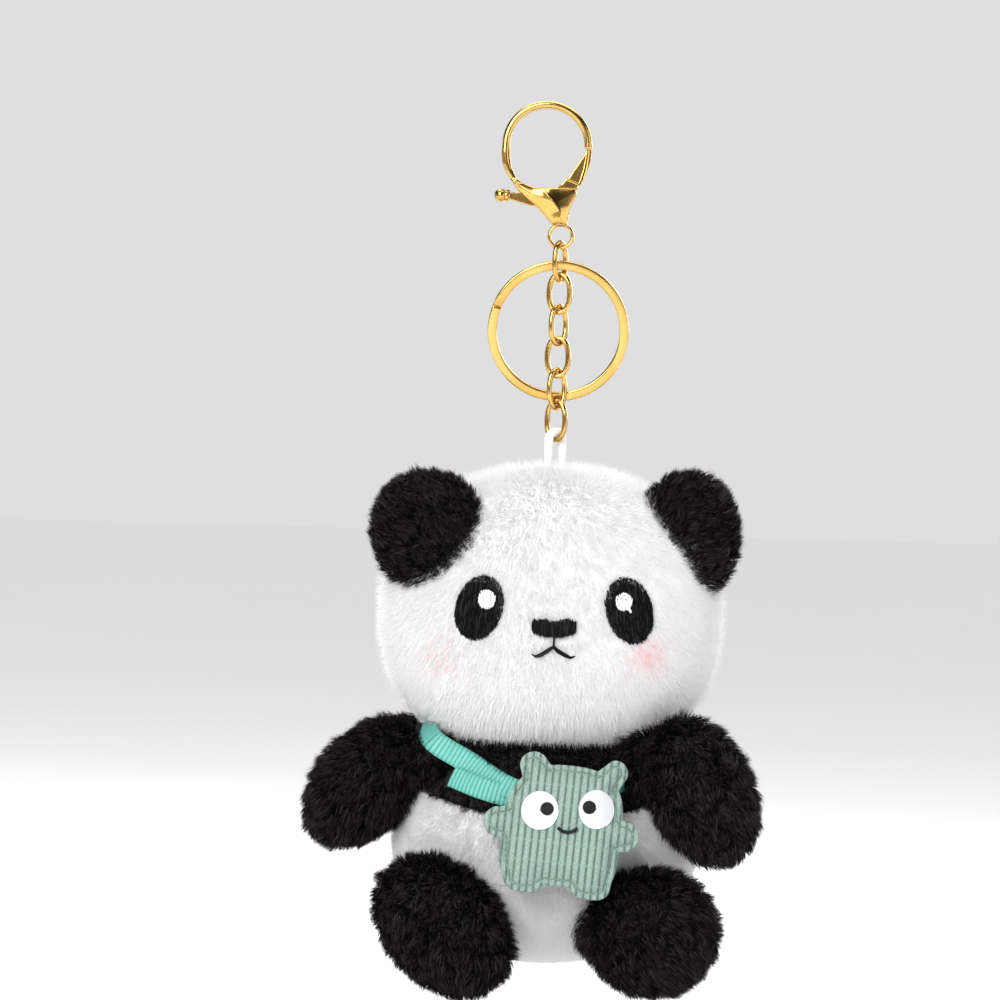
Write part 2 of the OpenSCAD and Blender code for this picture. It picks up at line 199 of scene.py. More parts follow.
GOLD = textured("gold", (0.53, 0.32, 0.085), (0.64, 0.42, 0.14), 120, 0.15, 0.08, 700,
                metallic=1.0, rough_spread=0.05)
STEEL = textured("steel", (0.42, 0.42, 0.43), (0.6, 0.6, 0.6), 300, 0.3, 0.1, 900,
                 metallic=1.0)
WHITE_CLOTH = textured("white_cloth", (0.84, 0.84, 0.85), (0.90, 0.90, 0.91), 200, 0.9,
                       0.5, 2500, sheen=0.4, rough_spread=0.05)
BLACK_CLOTH = textured("black_cloth", (0.004, 0.0035, 0.004), (0.010, 0.008, 0.009), 300,
                       0.9, 0.6, 2500, sheen=0.02, rough_spread=0.05)
CORD_WHITE = textured("cord_white", (0.78, 0.78, 0.80), (0.88, 0.88, 0.89), 400, 0.38,
                      0.3, 3000, sheen=0.3)
STITCH_BASE = textured("stitch_base", (0.004, 0.004, 0.004), (0.012, 0.012, 0.012), 500,
                       0.85, 0.6, 3000, rough_spread=0.05)
PRINT_WHITE = textured("print_white", (0.59, 0.60, 0.64), (0.63, 0.64, 0.68), 500, 0.5,
                       0.3, 2500)
PRINT_BLACK = textured("print_black", (0.008, 0.008, 0.008), (0.016, 0.016, 0.016), 500,
                       0.45, 0.3, 2500)
MINT_RIB = knitted("mint_rib", (0.20, 0.31, 0.27), (0.37, 0.51, 0.455), (0.11, 0.17, 0.15))
for printed in (PRINT_BLACK, STITCH_BASE):
    printed.node_tree.nodes["Principled BSDF"].inputs["Specular IOR Level"].default_value = 0.12
MINT_SEAM = textured("mint_seam", (0.15, 0.235, 0.20), (0.22, 0.32, 0.28), 500, 0.9, 0.8,
                     2200, sheen=0.1, rough_spread=0.05)
RIBBON = ribbed("ribbon", (0.045, 0.29, 0.24), (0.14, 0.50, 0.43), 0.93, 0.5, 0.00015)

FUR_WHITE = [plain("fur_white_a", (0.90, 0.90, 0.91), 0.75, 0.3),
             plain("fur_white_b", (0.84, 0.84, 0.85), 0.8, 0.3),
             plain("fur_pink_a", (0.93, 0.50, 0.52), 0.8, 0.2),
             plain("fur_pink_b", (0.93, 0.72, 0.73), 0.8, 0.2)]
FUR_BLACK = [plain("fur_black", (0.0022, 0.0020, 0.0024), 0.6, specular=0.07),
             plain("fur_black_b", (0.0055, 0.0045, 0.0052), 0.65, specular=0.1),
             # the lighter tip tone is partly brown fibre tips and partly painted sheen on the
             # black pile
             plain("fur_tip_brown_and_sheen", (0.042, 0.031, 0.035), 0.7, 0.02, specular=0.2)]
THREAD_BLACK = [plain("thread_black_a", (0.003, 0.003, 0.004), 0.45, specular=0.1),
                plain("thread_black_b", (0.008, 0.008, 0.009), 0.5, specular=0.2)]
THREAD_WHITE = [plain("thread_white_a", (0.93, 0.93, 0.94), 0.5, 0.1),
                plain("thread_white_b", (0.85, 0.85, 0.86), 0.5, 0.1)]
THREAD_MINT = [plain("thread_mint", (0.26, 0.39, 0.34), 0.7, 0.1)]
THREAD_GREY = [plain("thread_grey", (0.22, 0.24, 0.24), 0.7, 0.2)]


# ---------- meshes ----------

def make_object(name, verts, faces, mats, face_mat=None, uv=None, smooth=True):
    """An object from arrays: faces are all triangles or all quads, lengths are in mm."""
    mesh = bpy.data.meshes.new(name)
    faces = np.asarray(faces, dtype=np.int32)
    count, corners = faces.shape
    mesh.vertices.add(len(verts))
    mesh.vertices.foreach_set("co", (np.asarray(verts) * MM).astype(np.float32).ravel())
    mesh.loops.add(count * corners)
    mesh.loops.foreach_set("vertex_index", faces.ravel())
    mesh.polygons.add(count)
    mesh.polygons.foreach_set("loop_start", np.arange(0, count * corners, corners,
                                                      dtype=np.int32))
    for mat in mats:
        mesh.materials.append(mat)
    if face_mat is not None:
        mesh.polygons.foreach_set("material_index", np.asarray(face_mat, dtype=np.int32))
    if uv is not None:
        layer = mesh.uv_layers.new(name="UVMap")
        layer.data.foreach_set("uv", np.asarray(uv)[faces.ravel()].astype(np.float32).ravel())
    mesh.update(calc_edges=True)
    mesh.polygons.foreach_set("use_smooth", np.full(count, smooth))
    obj = bpy.data.objects.new(name, mesh)
    bpy.context.scene.collection.objects.link(obj)
    return obj


def attach(obj, body, slot, *nodes):
    """Puts a piece on its body and in the place of its CAD nodes, which it hides. Its slot is
    not used.
    """
    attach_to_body(obj, body)
    if nodes:
        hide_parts(*nodes)
    return obj


def grid_faces(rows, cols, closed=True):
    """Quads over a rows x cols grid of vertices, joined round in the column direction."""
    steps = cols if closed else cols - 1
    i, j = np.meshgrid(np.arange(rows - 1), np.arange(steps), indexing="ij")
    k = (j + 1) % cols
    quads = np.stack([i * cols + j, i * cols + k, (i + 1) * cols + k, (i + 1) * cols + j],
                     axis=-1)
    return quads.reshape(-1, 4)


def halves(quads):
    """Two triangles for each quad."""
    return np.concatenate([quads[:, [0, 1, 2]], quads[:, [0, 2, 3]]])


def tube(points, radius, sides=8, squash=1.0, up=(0, 1, 0), closed=False):
    """A closed tube along points. squash flattens it in the direction nearest to up."""
    points = np.asarray(points, dtype=float)
    count = len(points)
    radius = np.broadcast_to(np.asarray(radius, dtype=float), (count,))
    if closed:
        ahead = np.roll(points, -1, axis=0) - np.roll(points, 1, axis=0)
    else:
        ahead = np.gradient(points, axis=0)
    ahead /= np.linalg.norm(ahead, axis=1, keepdims=True)
    up = np.broadcast_to(np.asarray(up, dtype=float), points.shape)
    side = np.cross(ahead, up)
    side /= np.maximum(np.linalg.norm(side, axis=1, keepdims=True), 1e-9)
    over = np.cross(side, ahead)
    turn = np.linspace(0, 2 * math.pi, sides, endpoint=False)
    ring = (side[:, None, :] * np.cos(turn)[None, :, None]
            + over[:, None, :] * np.sin(turn)[None, :, None] * squash)
    verts = (points[:, None, :] + ring * radius[:, None, None]).reshape(-1, 3)
    tris = halves(grid_faces(count, sides))
    if closed:
        j = np.arange(sides)
        k = (j + 1) % sides
        last = (count - 1) * sides
        tris = np.concatenate([tris, np.stack([last + j, last + k, k], 1),
                               np.stack([last + j, k, j], 1)])
        return verts, tris
    verts = np.concatenate([verts, points[[0, -1]]])
    j = np.arange(sides)
    k = (j + 1) % sides
    first, end = count * sides, count * sides + 1
    tris = np.concatenate([
        tris,
        np.stack([np.full(sides, first), k, j], 1),
        np.stack([np.full(sides, end), (count - 1) * sides + j, (count - 1) * sides + k], 1)])
    return verts, tris


def joined(parts):
    """One pair of arrays from several (verts, tris) pairs, and each triangle's part."""
    verts, tris, owner, start = [], [], [], 0
    for number, (v, t) in enumerate(parts):
        verts.append(v)
        tris.append(t + start)
        owner.append(np.full(len(t), number))
        start += len(v)
    return np.concatenate(verts), np.concatenate(tris), np.concatenate(owner)


def vertex_normals(verts, tris):
    """Smooth normals of a triangle mesh."""
    a, b, c = verts[tris[:, 0]], verts[tris[:, 1]], verts[tris[:, 2]]
    face = np.cross(b - a, c - a)
    out = np.zeros_like(verts)
    for corner in range(3):
        np.add.at(out, tris[:, corner], face)
    return out / np.maximum(np.linalg.norm(out, axis=1, keepdims=True), 1e-12)


def unit(v):
    """Vectors at length 1."""
    return v / np.maximum(np.linalg.norm(v, axis=-1, keepdims=True), 1e-12)


# ---------- plush shapes ----------

def rounded_solid(center, half, power_top, power_low, rows=90, cols=150):
    """A closed round body that is squarer the higher its power, above and below."""
    lat = np.linspace(-math.pi / 2, math.pi / 2, rows)
    lon = np.linspace(0, 2 * math.pi, cols, endpoint=False)
    power = np.where(lat > 0, power_top, power_low)
    wide = np.cos(lat) ** (2 / power)
    high = np.sign(np.sin(lat)) * np.abs(np.sin(lat)) ** (2 / power)
    x = half[0] * wide[:, None] * np.cos(lon)[None, :]
    y = half[1] * wide[:, None] * np.sin(lon)[None, :]
    z = half[2] * high[:, None] * np.ones_like(lon)[None, :]
    verts = np.stack([x, y, z], -1).reshape(-1, 3) + center
    return verts, halves(grid_faces(rows, cols))


def turn_y(points, degrees):
    """Turns points about Y, from Z towards X."""
    a = math.radians(degrees)
    x, y, z = points[..., 0], points[..., 1], points[..., 2]
    return np.stack([x * math.cos(a) + z * math.sin(a), y,
                     z * math.cos(a) - x * math.sin(a)], -1)


def limb_skin(root, root_r, pad, half, degrees, rows=60, cols=90):
    """A stuffed limb: an egg-shaped pad that runs smoothly into a ball at its root."""
    root, pad, half = np.array(root, float), np.array(pad, float), np.array(half, float)
    lat = np.linspace(-math.pi / 2, math.pi / 2, rows)
    lon = np.linspace(0, 2 * math.pi, cols, endpoint=False)
    rays = np.stack([np.cos(lat)[:, None] * np.cos(lon)[None, :],
                     np.cos(lat)[:, None] * np.sin(lon)[None, :],
                     np.sin(lat)[:, None] * np.ones_like(lon)[None, :]], -1).reshape(-1, 3)
    local = turn_y(rays, -degrees)
    to_pad = 1 / np.sqrt(((local / half) ** 2).sum(1))
    offset = pad - root
    along = (rays * offset).sum(1)
    inside = along ** 2 - (offset ** 2).sum() + root_r ** 2
    to_root = np.where(inside > 0, -along + np.sqrt(np.maximum(inside, 0)), 0)
    reach = (to_pad ** 9 + np.maximum(to_root, 0) ** 9) ** (1 / 9)
    verts = pad + rays * reach[:, None]
    return verts, halves(grid_faces(rows, cols))


def sample(verts, tris, count, keep=None):
    """Even random places on a skin, with their smooth normals."""
    a, b, c = verts[tris[:, 0]], verts[tris[:, 1]], verts[tris[:, 2]]
    area = np.linalg.norm(np.cross(b - a, c - a), axis=1)
    if keep is not None:
        area = area * keep((a + b + c) / 3)
    pick = rng.choice(len(tris), count, p=area / area.sum())
    u, v = rng.random(count), rng.random(count)
    over = u + v > 1
    u[over], v[over] = 1 - u[over], 1 - v[over]
    w = 1 - u - v
    normals = vertex_normals(verts, tris)
    place = a[pick] * w[:, None] + b[pick] * u[:, None] + c[pick] * v[:, None]
    n = (normals[tris[pick, 0]] * w[:, None] + normals[tris[pick, 1]] * u[:, None]
         + normals[tris[pick, 2]] * v[:, None])
    return place, unit(n)


def frames_of(direction):
    """Two directions square to each given one."""
    helper = np.where(np.abs(direction[:, 2:3]) < 0.9, [[0.0, 0.0, 1.0]], [[1.0, 0.0, 0.0]])
    side = unit(np.cross(direction, helper))
    return side, np.cross(direction, side)


def short_fur(place, normal, comb, length, width, lean=0.45, mess=0.2):
    """Straight tapered hairs, each a closed thin pyramid."""
    count = len(place)
    direction = unit(normal + comb * lean + rng.normal(0, mess, (count, 3)))
    length = length * rng.uniform(0.7, 1.15, (count, 1))
    side, over = frames_of(direction)
    turn = rng.uniform(0, 2 * math.pi, count)
    root = place - normal * 0.15
    corners = []
    for k in range(3):
        a = turn + k * 2 * math.pi / 3
        corners.append(root + (side * np.cos(a)[:, None] + over * np.sin(a)[:, None]) * width)
    tip = root + direction * length
    verts = np.stack([*corners, tip], 1).reshape(-1, 3)
    base = np.arange(count)[:, None] * 4
    tris = np.concatenate([base + [0, 1, 3], base + [1, 2, 3], base + [2, 0, 3],
                           base + [0, 2, 1]], 1).reshape(-1, 3)
    return verts, tris


def long_fur(place, normal, comb, length, width, clumps=400, clump=0.5, lean=0.6, mess=0.25):
    """Bent hairs in two lengths, drawn together into tufts at their tips."""
    count = len(place)
    direction = unit(normal + comb * lean * 0.5 + rng.normal(0, mess, (count, 3)))
    length = length * rng.uniform(0.55, 1.2, (count, 1)) * rng.uniform(0.9, 1.15, (count, 1))
    middle = place + direction * length * 0.5
    bend = unit(direction + comb * lean + rng.normal(0, mess, (count, 3)))
    tip = middle + bend * length * 0.5
    leaders = rng.choice(count, min(clumps, count), replace=False)
    nearest = np.empty(count, dtype=int)
    for start in range(0, count, 2000):
        part = place[start:start + 2000]
        gap = ((part[:, None, :] - place[leaders][None, :, :]) ** 2).sum(-1)
        nearest[start:start + 2000] = leaders[np.argmin(gap, axis=1)]
    pull = clump * rng.uniform(0.5, 1.0, (count, 1))
    middle = middle + (middle[nearest] - middle) * pull * 0.3
    tip = tip + (tip[nearest] - tip) * pull
    side, over = frames_of(unit(tip - place))
    turn = rng.uniform(0, 2 * math.pi, count)
    root = place - normal * 0.2
    rows = []
    for center, share in ((root, 1.0), (middle, 0.8)):
        for k in range(3):
            a = turn + k * 2 * math.pi / 3
            rows.append(center + (side * np.cos(a)[:, None]
                                  + over * np.sin(a)[:, None]) * width * share)
    verts = np.stack([*rows, tip], 1).reshape(-1, 3)
    base = np.arange(count)[:, None] * 7
    lower = [[0, 1, 4], [0, 4, 3], [1, 2, 5], [1, 5, 4], [2, 0, 3], [2, 3, 5], [0, 2, 1]]
    upper = [[3, 4, 6], [4, 5, 6], [5, 3, 6]]
    tris = np.concatenate([base + t for t in lower + upper], 1).reshape(-1, 3)
    is_tip = np.tile([0] * 7 + [1] * 3, count)
    return verts, tris, is_tip


def downward(normal, extra=(0, 0, 0)):
    """The way hair lies: down along the surface, with a push of its own."""
    way = np.array([0.0, 0.0, -1.0]) + np.asarray(extra)
    return unit(way - normal * (normal * way).sum(-1, keepdims=True))


def white_fur_piece(name, skin, count, body, slot, length=1.75, width=0.085, keep=None,
                    tint=None, comb=None, lean=0.45, mess=0.22):
    """Short white pile on a skin."""
    place, normal = sample(*skin, count, keep)
    way = downward(normal) if comb is None else comb(place, normal)
    verts, tris = short_fur(place, normal, way, length, width, lean, mess)
    tone = (rng.random(count) < 0.35).astype(int)
    if tint is not None:
        tone = tint(place, tone)
    obj = make_object(name, verts, tris, FUR_WHITE, np.repeat(tone, 4), smooth=False)
    return attach(obj, body, slot)


def black_fur_piece(name, skin, count, body, slot, length=3.4, width=0.085, keep=None,
                    comb=None, clumps=350, clump=0.55, lean=0.7):
    """Long black pile on a skin, in tufts, with lighter tips on some hairs that are partly the
    pile's brown tip colour and partly painted sheen.
    """
    place, normal = sample(*skin, count, keep)
    way = downward(normal) if comb is None else comb(place, normal)
    verts, tris, is_tip = long_fur(place, normal, way, length, width, clumps, clump, lean)
    dark = np.repeat((rng.random(count) < 0.4).astype(int), 10)
    # some hairs get lighter tips: partly their brown tip colour, partly painted sheen
    brown_sheen_tip = np.repeat(rng.random(count) < 0.34, 10)
    tone = np.where((is_tip == 1) & brown_sheen_tip, 2, dark)
    obj = make_object(name, verts, tris, FUR_BLACK, tone, smooth=False)
    return attach(obj, body, slot)


def skin_piece(name, skin, mat, body, slot, *nodes):
    """The stuffed cloth under a piece's pile."""
    obj = attach(make_object(name, *skin, [mat]), body, slot, *nodes)


# ---------- head ----------

HEAD_HALF = np.array([34.8, 24.9, 29.2])
HEAD_TOP_POWER, HEAD_LOW_POWER = 2.2, 2.55
EYE_LEFT = (-15.1, 0.5, 9.9, 13.7, -17.0)
EYE_RIGHT = (15.8, 0.7, 9.9, 14.1, 18.0)
NOSE = (0.35, -3.2)
CHEEKS = ((19.4, -8.1, 3.6, 0.6), (-22.4, -9.9, 3.6, 0.24))


def face_y(x, z, lift=0.0):
    """The y of the face's surface at x and z from the head's centre."""
    power = np.where(z > 0, HEAD_TOP_POWER, HEAD_LOW_POWER)
    level = np.maximum(1 - np.abs(z / HEAD_HALF[2]) ** power, 1e-6) ** (1 / power)
    return -HEAD_HALF[1] * np.sqrt(np.maximum(level ** 2 - (x / HEAD_HALF[0]) ** 2, 1e-6)) - lift


def on_face(x, z, lift):
    """Points on the face, at a height over its cloth."""
    x, z = np.asarray(x, float), np.asarray(z, float)
    return np.stack([x, face_y(x, z, lift), z], -1) + HEAD


def in_oval(x, z, oval, grow=0.0):
    """True inside a tilted oval."""
    cx, cz, width, height, tilt = oval
    a = math.radians(tilt)
    u = (x - cx) * math.cos(a) + (z - cz) * math.sin(a)
    v = -(x - cx) * math.sin(a) + (z - cz) * math.cos(a)
    return (u / (width / 2 + grow)) ** 2 + (v / (height / 2 + grow)) ** 2 < 1


def face_is_bare(x, z):
    """True where embroidery presses the plush flat."""
    nose = (np.abs(x - NOSE[0]) < 4.3) & (np.abs(z - NOSE[1]) < 1.5)
    return in_oval(x, z, EYE_LEFT, -0.35) | in_oval(x, z, EYE_RIGHT, -0.35) | nose


def head_keep(front, right=None):
    """Where pile grows on one part of the head."""
    def keep(p):
        local = p - HEAD
        share = np.where((local[:, 1] < 0) == front, 1.0, 0.0)
        if right is not None:
            share *= (local[:, 0] > 0) == right
        bare = face_is_bare(local[:, 0], local[:, 2]) & (local[:, 1] < 0)
        return share * np.where(bare, 0.0, 1.0)
    return keep


def cheek_tint(place, tone):
    """Pink hair towards the middle of each cheek."""
    local = place - HEAD
    tone = tone.copy()
    for x, z, r, strength in CHEEKS:
        gap = np.hypot(local[:, 0] - x, local[:, 2] - z)
        chance = strength * np.exp(-(gap / r) ** 2) * (local[:, 1] < 0)
        pick = rng.random(len(place))
        tone = np.where(pick < chance, 3, tone)
        tone = np.where(pick < chance * 0.45, 2, tone)
    return tone


def head_comb(place, normal):
    """Hair lies down the head, and leans outwards towards its sides."""
    local = place - HEAD
    out = np.stack([local[:, 0] * 0.02, np.zeros(len(local)), np.zeros(len(local))], -1)
    return downward(normal, out)


def edge_keep(p):
    """Hair that stands off round the head's outline, but not on the face."""
    local = (p - HEAD) / HEAD_HALF
    return np.clip((np.hypot(local[:, 0], local[:, 2]) - 0.9) / 0.1, 0, 1) * (p[:, 1] < 8)


head_skin = rounded_solid(HEAD, HEAD_HALF, HEAD_TOP_POWER, HEAD_LOW_POWER, 120, 180)
skin_piece("head_plush", head_skin, WHITE_CLOTH, "head", "white_plush",
           "head_front_cover", "head_back_cover", "head_filling")
for side, is_right in (("left", False), ("right", True)):
    white_fur_piece(f"head_pile_{side}", head_skin, 52000, "head", "white_plush",
                    length=1.8, width=0.075, lean=0.95, mess=0.1,
                    keep=head_keep(True, is_right),
                    tint=cheek_tint, comb=head_comb)


def fringe_keep(p):
    """Hair along the lower edge of the head."""
    low = np.clip((HEAD[2] - 17 - p[:, 2]) / 5, 0, 1)
    return low * (p[:, 1] < 4)


white_fur_piece("head_pile_fringe", head_skin, 9000, "head", "white_plush", length=2.7,
                keep=fringe_keep, comb=head_comb, lean=0.9)
white_fur_piece("head_pile_loose", head_skin, 16000, "head", "white_plush", length=3.1,
                width=0.06, keep=edge_keep, comb=head_comb, lean=0.1, mess=0.3)
white_fur_piece("head_pile_back", head_skin, 36000, "head", "white_plush",
                keep=head_keep(False), comb=head_comb, width=0.11)


def stitched_fill(oval_test, box, pitch, angle, lift, radius, stitch=3.2, ragged=0.35):
    """Rows of stitches that fill a shape on the face."""
    a = math.radians(angle)
    along = np.array([math.sin(a), math.cos(a)])
    across = np.array([math.cos(a), -math.sin(a)])
    cx, cz, size = box
    parts = []
    for s in np.arange(-size, size, pitch):
        t = np.linspace(-size, size, 240)
        xs = cx + across[0] * s + along[0] * t
        zs = cz + across[1] * s + along[1] * t
        inside = oval_test(xs, zs)
        if not inside.any():
            continue
        t0, t1 = t[inside].min(), t[inside].max()
        t0 -= rng.uniform(-0.1, ragged)
        t1 += rng.uniform(-0.1, ragged)
        cut = t0 - rng.uniform(0, stitch)
        while cut < t1:
            start, end = max(cut, t0), min(cut + stitch, t1)
            cut += stitch
            if end - start < 0.3:
                continue
            tt = np.linspace(start, end, 6)
            wobble = rng.normal(0, 0.05)
            px = cx + across[0] * (s + wobble) + along[0] * tt
            pz = cz + across[1] * (s + wobble) + along[1] * tt
            arch = np.sin(np.linspace(0, math.pi, 6)) ** 0.5
            high = lift - 0.22 + 0.22 * arch + rng.normal(0, 0.03)
            r = radius * (0.55 + 0.45 * arch)
            parts.append(tube(on_face(px, pz, high), r, 5))
    return parts


def face_patch(name_test, box, lift, depth=1.2, step=0.28):
    """A thin solid patch on the face under a stitched shape."""
    cx, cz, size = box
    xs = np.arange(cx - size, cx + size, step)
    zs = np.arange(cz - size, cz + size, step)
    gx, gz = np.meshgrid(xs, zs, indexing="ij")
    keep = name_test(gx + step / 2, gz + step / 2)[:-1, :-1]
    top = on_face(gx, gz, lift).reshape(-1, 3)
    low = on_face(gx, gz, lift - depth).reshape(-1, 3)
    count, cols = len(top), gx.shape[1]
    i, j = np.nonzero(keep)
    a, b = i * cols + j, (i + 1) * cols + j
    quads = [np.stack([a, b, b + 1, a + 1], 1),
             np.stack([a + count, a + 1 + count, b + 1 + count, b + count], 1)]
    padded_keep = np.pad(keep, 1)
    for di, dj, first, second in ((-1, 0, 0, 1), (1, 0, 3, 2), (0, -1, 2, 0), (0, 1, 1, 3)):
        edge = keep & ~padded_keep[1 + di:1 + di + keep.shape[0],
                                   1 + dj:1 + dj + keep.shape[1]]
        i, j = np.nonzero(edge)
        corner = np.stack([i * cols + j, i * cols + j + 1, (i + 1) * cols + j,
                           (i + 1) * cols + j + 1], 1)
        p, q = corner[:, first], corner[:, second]
        quads.append(np.stack([p, q, q + count, p + count], 1))
    quads = np.concatenate(quads)
    verts = np.concatenate([top, low])
    used, index = np.unique(quads, return_inverse=True)
    return verts[used], halves(index.reshape(-1, 4))


def stitched_piece(name, parts, mats, slot, node):
    """Stitches on the face, in two tones."""
    verts, tris, owner = joined(parts)
    tones = rng.integers(0, 100, len(parts))
    tone = np.where(tones[owner] < 70, 0, len(mats) - 1)
    obj = make_object(name, verts, tris, mats, tone)
    attach(obj, "head", slot, node)


for name, oval in (("eye_left", EYE_LEFT), ("eye_right", EYE_RIGHT)):
    box = (oval[0], oval[1], 8.0)
    test = lambda x, z, oval=oval: in_oval(x, z, oval, -0.2)
    base = make_object(f"{name}_base", *face_patch(test, box, 0.72), [STITCH_BASE])
    attach(base, "head", "black_thread")
    parts = stitched_fill(lambda x, z, oval=oval: in_oval(x, z, oval, -0.1), box, 0.27,
                          oval[4] * -0.4, 0.98, 0.17)
    stitched_piece(f"{name}_stitches", parts, THREAD_BLACK, "black_thread", name)

HIGHLIGHTS = {"left": (-13.6, 2.3, 3.5, 3.9, 0.0), "right": (14.6, 2.5, 3.4, 3.7, 0.0)}
for side, oval in HIGHLIGHTS.items():
    test = lambda x, z, oval=oval: in_oval(x, z, oval)
    parts = [face_patch(test, (oval[0], oval[1], 3.0), 1.05, 0.4, 0.2)]
    parts += stitched_fill(test, (oval[0], oval[1], 3.0), 0.3, 8, 1.28, 0.18, 4.0, 0.15)
    if side == "right":
        tail = np.array([[15.5, 1.3], [15.9, 0.7], [16.1, 0.3]])
        parts.append(tube(on_face(tail[:, 0], tail[:, 1], 1.2), [0.3, 0.3, 0.18], 6))
    stitched_piece(f"highlight_{side}_stitches", parts, THREAD_WHITE, "white_thread",
                   f"eye_highlight_{side}")


def in_nose(x, z):
    """True inside the nose: a wide bean, lower in its middle."""
    u, v = x - NOSE[0], z - NOSE[1]
    top = 1.75 - 0.4 * np.exp(-(u / 1.3) ** 2) - 0.35 * (np.abs(u) / 4.4) ** 4
    low = -1.8 + 0.95 * (np.abs(u) / 4.4) ** 3
    side = 4.5 - 0.28 * np.maximum(0, -v) ** 2
    return (np.abs(u) < side) & (v < top) & (v > low)


nose_parts = [face_patch(in_nose, (*NOSE, 5.5), 0.8)]
nose_parts += stitched_fill(in_nose, (*NOSE, 5.5), 0.26, 0, 1.15, 0.18, 9.0, 0.45)
stitched_piece("nose_stitches", nose_parts, THREAD_BLACK, "black_thread", "nose")


def mouth_stroke(points, radii, strands, spread):
    """A few threads side by side along a bent line, placed from the nose."""
    points, parts = np.array(points, float) + NOSE, []
    steps = np.linspace(0, len(points) - 1, 16)
    x = np.interp(steps, range(len(points)), points[:, 0])
    z = np.interp(steps, range(len(points)), points[:, 1])
    r = np.interp(steps, range(len(points)), radii)
    for k in range(strands):
        shift = (k - (strands - 1) / 2) * spread
        side = shift * r / max(radii)
        lift = 0.95 + 0.12 * np.sin(np.linspace(0, math.pi, 16)) - 0.1 * abs(shift)
        parts.append(tube(on_face(x, z + side, lift), np.minimum(r, 0.2) + 0.02, 6))
    return parts


mouth_parts = mouth_stroke([[0, -1.5], [0.05, -2.7], [0, -3.7]], [0.25, 0.28, 0.25], 2, 0.2)
mouth_parts += mouth_stroke([[0, -3.8], [-1.1, -4.6], [-2.6, -5.6], [-3.7, -5.9],
                             [-4.5, -5.4]], [0.2, 0.5, 0.42, 0.16, 0.06], 3, 0.28)
mouth_parts += mouth_stroke([[0, -3.8], [0.8, -4.6], [2.2, -5.4], [3.6, -6.0],
                             [4.5, -5.6]], [0.2, 0.45, 0.4, 0.16, 0.06], 3, 0.27)
stitched_piece("mouth_stitches", mouth_parts, THREAD_BLACK, "black_thread", "mouth")


# ---------- ears ----------

def ear_skin(center, half, turn, dish):
    """A round stuffed ear with a shallow hollow in front."""
    verts, tris = rounded_solid(np.zeros(3), half, 2.2, 2.2, 60, 90)
    front = verts[:, 1] < 0
    inner = np.maximum(1 - ((verts[:, 0] - dish[0]) / (half[0] * 0.6)) ** 2
                       - ((verts[:, 2] - dish[1]) / (half[2] * 0.6)) ** 2, 0)
    verts[:, 1] += np.where(front, inner * dish[2], 0)
    a = math.radians(turn)
    x = verts[:, 0] * math.cos(a) - verts[:, 1] * math.sin(a)
    y = verts[:, 0] * math.sin(a) + verts[:, 1] * math.cos(a)
    verts = np.stack([x, y, verts[:, 2]], -1) + center
    return verts, tris


def away_from(center, down=0.5):
    """Hair that spreads out from a point, and hangs a little."""
    def comb(place, normal):
        out = unit(place - center) + np.array([0, 0, -down])
        return unit(out - normal * (normal * out).sum(-1, keepdims=True))
    return comb


EARS = {"ear_left": ((-23.0, -12.5, -89.5), (11.0, 5.6, 11.0), -24, (-2.0, 1.5, 3.2)),
        "ear_right": ((31.6, -7.0, -89.4), (9.4, 5.6, 12.0), 10, (2.5, 0.5, 3.0))}
for name, (center, half, turn, dish) in EARS.items():
    skin = ear_skin(np.array(center), np.array(half), turn, dish)
    skin_piece(f"{name}_plush", skin, BLACK_CLOTH, name, "black_plush", name)
    black_fur_piece(f"{name}_pile", skin, 15000, name, "black_plush", length=2.9,
                    comb=away_from(HEAD + [0, 6, -6], 0.1), clumps=260)


# ---------- ribbon ----------

# the band round the neck, from the front of the left shoulder to the right and round behind
BAND = [(-20.6, -10.8, -133.4), (-13, -13.0, -137.8), (-4.2, -18.9, -142.5),
        (5, -20.3, -144.4), (12, -19.2, -143.2), (18.4, -14.6, -141.0), (23.3, -15.0, -137.6),
        (27.2, -13.0, -133), (27.8, -6.6, -130.6), (26, 1.5, -131.5), (20, 9, -133.5),
        (12, 13.8, -134.2), (3.4, 15.6, -134.4), (-5, 14, -134.3), (-13, 10.6, -134),
        (-19, 4.5, -132.4), (-21.8, -2.8, -130.0)]
TAIL = [(-16.4, -13.2, -140.6), (-11, -16.8, -142.4), (-5.4, -18.7, -143.8),
        (0.5, -19.4, -144.6)]
BAND_WIDTH, TAIL_WIDTH = 4.7, 4.6


def through(points, count, closed):
    """A smooth curve through points."""
    points = np.array(points, float)
    if closed:
        padded = np.concatenate([points[-1:], points, points[:2]])
    else:
        padded = np.concatenate([[2 * points[0] - points[1]], points,
                                 [2 * points[-1] - points[-2]]])
    out = []
    for i in range(1, len(padded) - 2):
        p = padded[i - 1:i + 3]
        t = np.linspace(0, 1, count, endpoint=False)[:, None]
        out.append(0.5 * (2 * p[1] + (p[2] - p[0]) * t
                          + (2 * p[0] - 5 * p[1] + 4 * p[2] - p[3]) * t ** 2
                          + (3 * p[1] - p[0] - 3 * p[2] + p[3]) * t ** 3))
    if not closed:
        out.append(points[-1:])
    return np.concatenate(out)


band_line = through(BAND, 40, True)


def clear_of_ribbon(p):
    """0 where the ribbon presses the plush flat, 1 elsewhere."""
    gap = np.full(len(p), 1e9)
    for line in (band_line[::8], through(TAIL, 5, False)):
        for start in range(0, len(p), 4000):
            part = p[start:start + 4000]
            near = ((part[:, None, :] - line[None, :, :]) ** 2).sum(-1).min(1)
            gap[start:start + 4000] = np.minimum(gap[start:start + 4000], near)
    return ((gap > 2.5 ** 2) | (p[:, 0] > 19)).astype(float)


